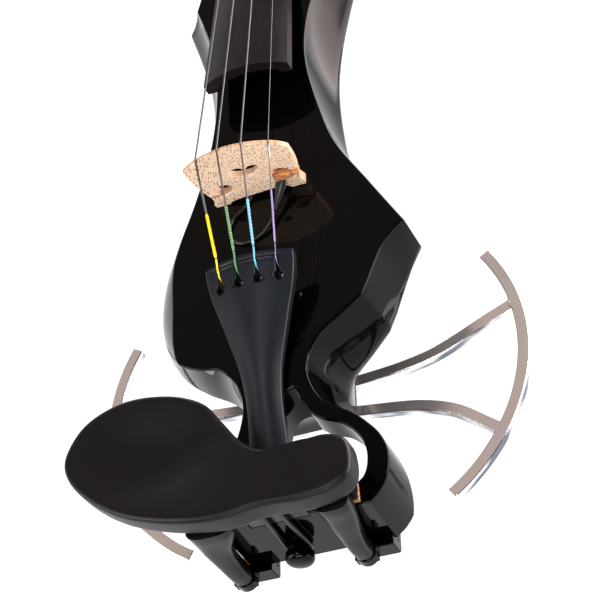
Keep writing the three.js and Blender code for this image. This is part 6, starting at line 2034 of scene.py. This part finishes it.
@dataclass
class WingBracket:
    """Two metal wings under the body with their spacers and screws."""

    top: float = -53.3
    thick: float = 4.5
    centre: Share = (13.1, -68.2)
    radius: float = 88.3
    bar: float = 5.3
    ends: Share = (31.0, -54.0)
    bass_turn: float = 2.6
    hub: Share = (4.0, 21.5, -92.5, -68.0)
    upper: tuple = ((97.4, -51.4), (84, -56.8), (70, -63.2), (56.6, -68.2), (40, -71.2), (20, -72.8))
    lower: tuple = ((86.5, -115), (77, -107), (66.6, -99.3), (56, -94.6), (45.2, -91.8), (20, -88.2))
    screws: Share = (-74.0, -86.5)
    screw_x: float = 12.7

    def _strip(self, points: Sequence[Vector], half: Callable[[float], float]) -> Mesh:
        """Flat bar along points.

        Args:
            points: Middle line in the plan.
            half: Half width by the share of the line.

        Returns:
            The bar.
        """
        rings, last, low = [], len(points) - 1, self.top - self.thick
        for i, point in enumerate(points):
            way = (points[min(i + 1, last)] - points[max(i - 1, 0)]).normalized()
            across = Vector((-way.y, way.x, 0)) * half(i / last)
            left, right = point + across, point - across
            corners = ((left, self.top), (right, self.top), (right, low), (left, low))
            rings.append([Vector((p.x, p.y, z)) for p, z in corners])
        return loft(rings)

    def wing(self, side: Side) -> None:
        """Makes one wing.

        Args:
            side: Side of the instrument.
        """
        half, floor = self.bar / 2, self.top - self.thick
        reach = self.radius - half
        more = math.degrees(half / reach)
        turns = [math.radians(mix(self.ends[0] + more, self.ends[1] - more, i / 90)) for i in range(91)]
        arc = self._strip([Vector((self.centre[0] + math.cos(turn) * reach, self.centre[1] + math.sin(turn) * reach, 0))
                           for turn in turns], lambda _: half)
        bars = [self._strip(smooth(line, 60), lambda s: half + 1.7 * math.exp(-s / 0.02))
                for line in (self.upper, self.lower)]
        x0, x1, y0, y1 = self.hub
        body = combine(arc, [*bars, block((x0, y0, floor), (x1, y1, self.top))], Join.ADD)
        if side is Side.BASS:
            bmesh.ops.scale(body, vec=(-1, 1, 1), verts=body.verts)
            bmesh.ops.reverse_faces(body, faces=body.faces)
            bmesh.ops.rotate(body, cent=(0, (y0 + y1) / 2, 0), verts=body.verts,
                             matrix=Matrix.Rotation(math.radians(self.bass_turn), 3, "Z"))
        x, holes = side.value * self.screw_x, []
        for y in self.screws:
            holes += [rod(1.6, (x, y, floor - 1), (x, y, self.top + 1), 24),
                      rod(3.0, (x, y, floor - 1), (x, y, floor + 2.2))]
        name = "wing_" + side.word
        BENCH.piece(name + "_plate", name, combine(body, holes, Join.CUT), Palette.alloy,
                    Edges(0.4, 2, 45, 50, False))

    def build(self) -> None:
        """Makes both wings and dresses what holds them."""
        for side in Side:
            self.wing(side)
            BENCH.dress(Palette.cover, "wing_spacer_" + side.word)
            BENCH.dress(Palette.steel, *(f"wing_screw_{side.word}_{row}" for row in ("front", "rear")))


# ---- electronics


@dataclass
class Electronics:
    """Cover, knobs, battery bay and output jack in the back."""

    knob_x: float = 9.6
    knob_y: float = -6.0
    knob_height: float = 7.4
    ribs: int = 24
    jack: Share = (-39.5, -27.0, -33.5)

    def knob(self, name: str, x: float) -> None:
        """Makes one ribbed knob.

        Args:
            name: Name of its node and body.
            x: Its place across the back.
        """
        y, top = self.knob_y, -LINE.depth - 0.5
        low = top - self.knob_height
        angles = [i * math.tau / 144 for i in range(144)]
        rings = []
        for radius, z, depth in ((5.2, low, 0), (6.0, low + 0.15, 0), (6.6, low + 0.8, 0.25), (6.85, low + 1.6, 0.35),
                                 (7.0, low + 6.4, 0.35), (7.0, low + 6.9, 0), (6.8, top, 0)):
            sizes = [radius - depth * (0.5 + 0.5 * math.cos(angle * self.ribs)) for angle in angles]
            rings.append([Vector((x + math.cos(a) * r, y + math.sin(a) * r, z)) for a, r in zip(angles, sizes)])
        body = combine(loft(rings), [rod(2.6, (x, y, top - 1), (x, y, -40.7))], Join.ADD)
        body = combine(body, [block((x - 0.4, y + 2, low - 1), (x + 0.4, y + 8, low + 0.5))], Join.CUT)
        BENCH.piece(name + "_ribbed", name, body, Palette.cover, Edges(sharp=35), name)

    def socket(self) -> None:
        """Makes the jack with its washer, nut and barrel."""
        face, y, z = self.jack
        out = face - SEAT - 2.2
        washer = turned([(0, 0), (8.4, 0), (8.6, 0.2), (8.6, 0.5), (8.4, 0.6), (0, 0.6)], (face - SEAT - 0.6, y, z),
                        (1, 0, 0))
        nut = rod(7.6, (out, y, z), (face - SEAT - 0.5, y, z), 6)
        threads = [point for k in range(5) for point in ((4.8, 0.15 + k * 0.75), (4.45, 0.5 + k * 0.75))]
        barrel = turned([(0, 0), *threads, (4.8, 4.0), (4.8, 18.4), (0, 18.4)], (out - 1.4, y, z), (1, 0, 0))
        body = combine(nut, [washer, barrel], Join.ADD)
        body = combine(body, [rod(3.2, (out - 4, y, z), (out + 14, y, z), 40)], Join.CUT)
        BENCH.piece("jack_socket", "output_jack", body, Palette.steel, Edges(0.18, 2, 40, 40, False))

    def build(self) -> None:
        """Makes the knobs and the jack and dresses the rest."""
        self.knob("volume_knob", -self.knob_x)
        self.knob("tone_knob", self.knob_x)
        self.socket()
        BENCH.dress(Palette.cover, "back_cover", "battery_door")
        BENCH.dress(Palette.steel, "cover_screw_bass", "cover_screw_treble")
        BENCH.dress(Palette.circuit, "preamp_board")
        BENCH.dress(Palette.cell, "battery")
        BENCH.dress(Palette.lead, "wire_harness")


# ---- studio


@dataclass
class Studio:
    """Camera, lights and floor."""

    eye: Share = (0.25066028, -0.51418170, 0.59517059)
    rows: tuple = ((0.923954, -0.024695, -0.381704), (0.239168, 0.816077, 0.526134), (0.298507, -0.577416, 0.759924))
    reach: float = 1839.19
    width: int = 600
    sensor: float = 36.0
    floor_z: float = -0.064
    glow: float = 0.92
    glow_far: float = 11.0
    glow_reach: Share = (0.18, 0.34)
    glow_tint: Share = (1.0, 0.86, 0.85)
    panel_way: Share = (-0.299, 0.577, 0.76)
    panel_tint: Share = (0.42, 0.35, 0.32)
    boxes: tuple = (
        ("left box", (-1.3, -0.5, 0.9), (0, -0.05, 0), (1.0, 1.3), 26),
        ("right box", (1.35, 0.1, 0.75), (0, -0.05, 0), (0.7, 1.2), 14),
        ("front box", (0.1, -1.6, 1.0), (0, -0.05, 0), (1.4, 0.8), 20),
        ("top box", (-0.1, -0.3, 1.4), (-0.03, -0.12, 0), (0.4, 0.4), 7),
    )

    def camera(self) -> None:
        """Places the camera at the photograph's view."""
        data = bpy.data.cameras.new("photo camera")
        data.sensor_width = self.sensor
        data.sensor_fit = "HORIZONTAL"
        data.lens = self.reach * self.sensor / self.width
        data.clip_start, data.clip_end = 0.02, 60.0
        obj = bpy.context.scene.camera = hang("photo camera", data)
        obj.matrix_world = Matrix.Translation(self.eye) @ Matrix(self.rows).transposed().to_4x4()

    @staticmethod
    def _toward(graph: Graph, way: Socket) -> Socket:
        """How far a way leads to the bright side of the studio."""
        return graph.plus(graph.times(graph.axis(way, "X"), 0.8), graph.times(graph.axis(way, "Y"), 0.6))

    def floor(self) -> None:
        """Lays the pale floor, which glows evenly near the instrument and far brighter and pinkish towards the far
        side, lighting the instrument like a lamp.
        """
        bm = bmesh.new()
        bmesh.ops.create_grid(bm, x_segments=1, y_segments=1, size=9.0)
        bmesh.ops.translate(bm, vec=(0, 0, self.floor_z), verts=bm.verts)
        obj = hang("studio floor", to_mesh(bm, "studio floor"))
        made = bpy.data.materials.new("studio floor")
        made.use_nodes = True
        graph = Graph(made.node_tree)
        # glowing floor: its far side shines as a light source and gives the pinkish reflections, though it is no lamp
        far = graph.ramp(self._toward(graph, graph.place()), *self.glow_reach)
        graph.feed(made.node_tree.nodes["Principled BSDF"], Base_Color=(0.32, 0.32, 0.32), Roughness=0.9,
                   Specular_IOR_Level=0.1, Emission_Strength=graph.ramp(far, 0.0, 1.0, self.glow, self.glow_far),
                   Emission_Color=graph.tint(far, (1, 1, 1), self.glow_tint))
        obj.data.materials.append(made)

    @staticmethod
    def light(name: str, at: Share, aim: Share, size: Share, power: float) -> None:
        """Hangs one white soft box.

        Args:
            name: Its name.
            at: Its place.
            aim: The point it looks at.
            size: Its two sides.
            power: Its power in watts.
        """
        data = bpy.data.lights.new(name, "AREA")
        data.shape = "RECTANGLE"
        data.size, data.size_y = size
        data.energy = power
        obj = hang(name, data)
        obj.rotation_euler = (Vector(aim) - Vector(at)).to_track_quat("-Z", "Y").to_euler()
        obj.location = at

    def world(self) -> None:
        """Surrounds the studio with soft light, darker overhead and bright on the far side."""
        world = bpy.context.scene.world = bpy.data.worlds.new("studio")
        world.use_nodes = True
        world.node_tree.nodes.clear()
        graph = Graph(world.node_tree)
        way = graph.node("TexCoord").outputs["Generated"]
        height = graph.axis(way, "Z")
        colour = graph.tint(graph.ramp(height, 0.02, 0.42), (0.85, 0.85, 0.87), (0.035, 0.035, 0.04))
        panel = graph.node("VectorMath", operation="DOT_PRODUCT")
        graph.fill(panel.inputs, (way, self.panel_way))
        above = graph.ramp(panel.outputs["Value"], 0.86, 0.96)
        side = graph.times(graph.ramp(self._toward(graph, way), 0.72, 0.95), graph.ramp(height, 0.3, 0.5, 1.0, 0.0))
        shade = graph.feed(graph.node("Background"), Strength=graph.ramp(side, 0.0, 1.0, 1.0, self.glow_far),
                           Color=graph.tint(side, graph.tint(above, colour, self.panel_tint), self.glow_tint))
        graph.fill(graph.node("OutputWorld").inputs, [shade.outputs[0]])

    def build(self) -> None:
        """Sets up the whole studio."""
        self.camera()
        self.floor()
        for box in self.boxes:
            self.light(*box)
        self.world()
        view = bpy.context.scene.view_settings
        view.view_transform, view.look, view.exposure = "Standard", "None", 0.0


def main() -> None:
    """Builds the studio and every assembly."""
    logging.basicConfig(level=logging.INFO, format="%(name)s: %(message)s")
    Studio().build()
    Body().build()
    neck, tail = NeckAssembly(), TailAssembly()
    neck.build()
    BridgeAndPickup().build()
    tail.build()
    StringSet(tail, neck).build()
    Chinrest().build()
    WingBracket().build()
    Electronics().build()
    LOG.info("%d pieces", len(BENCH.made))


if __name__ == "__main__":
    main()
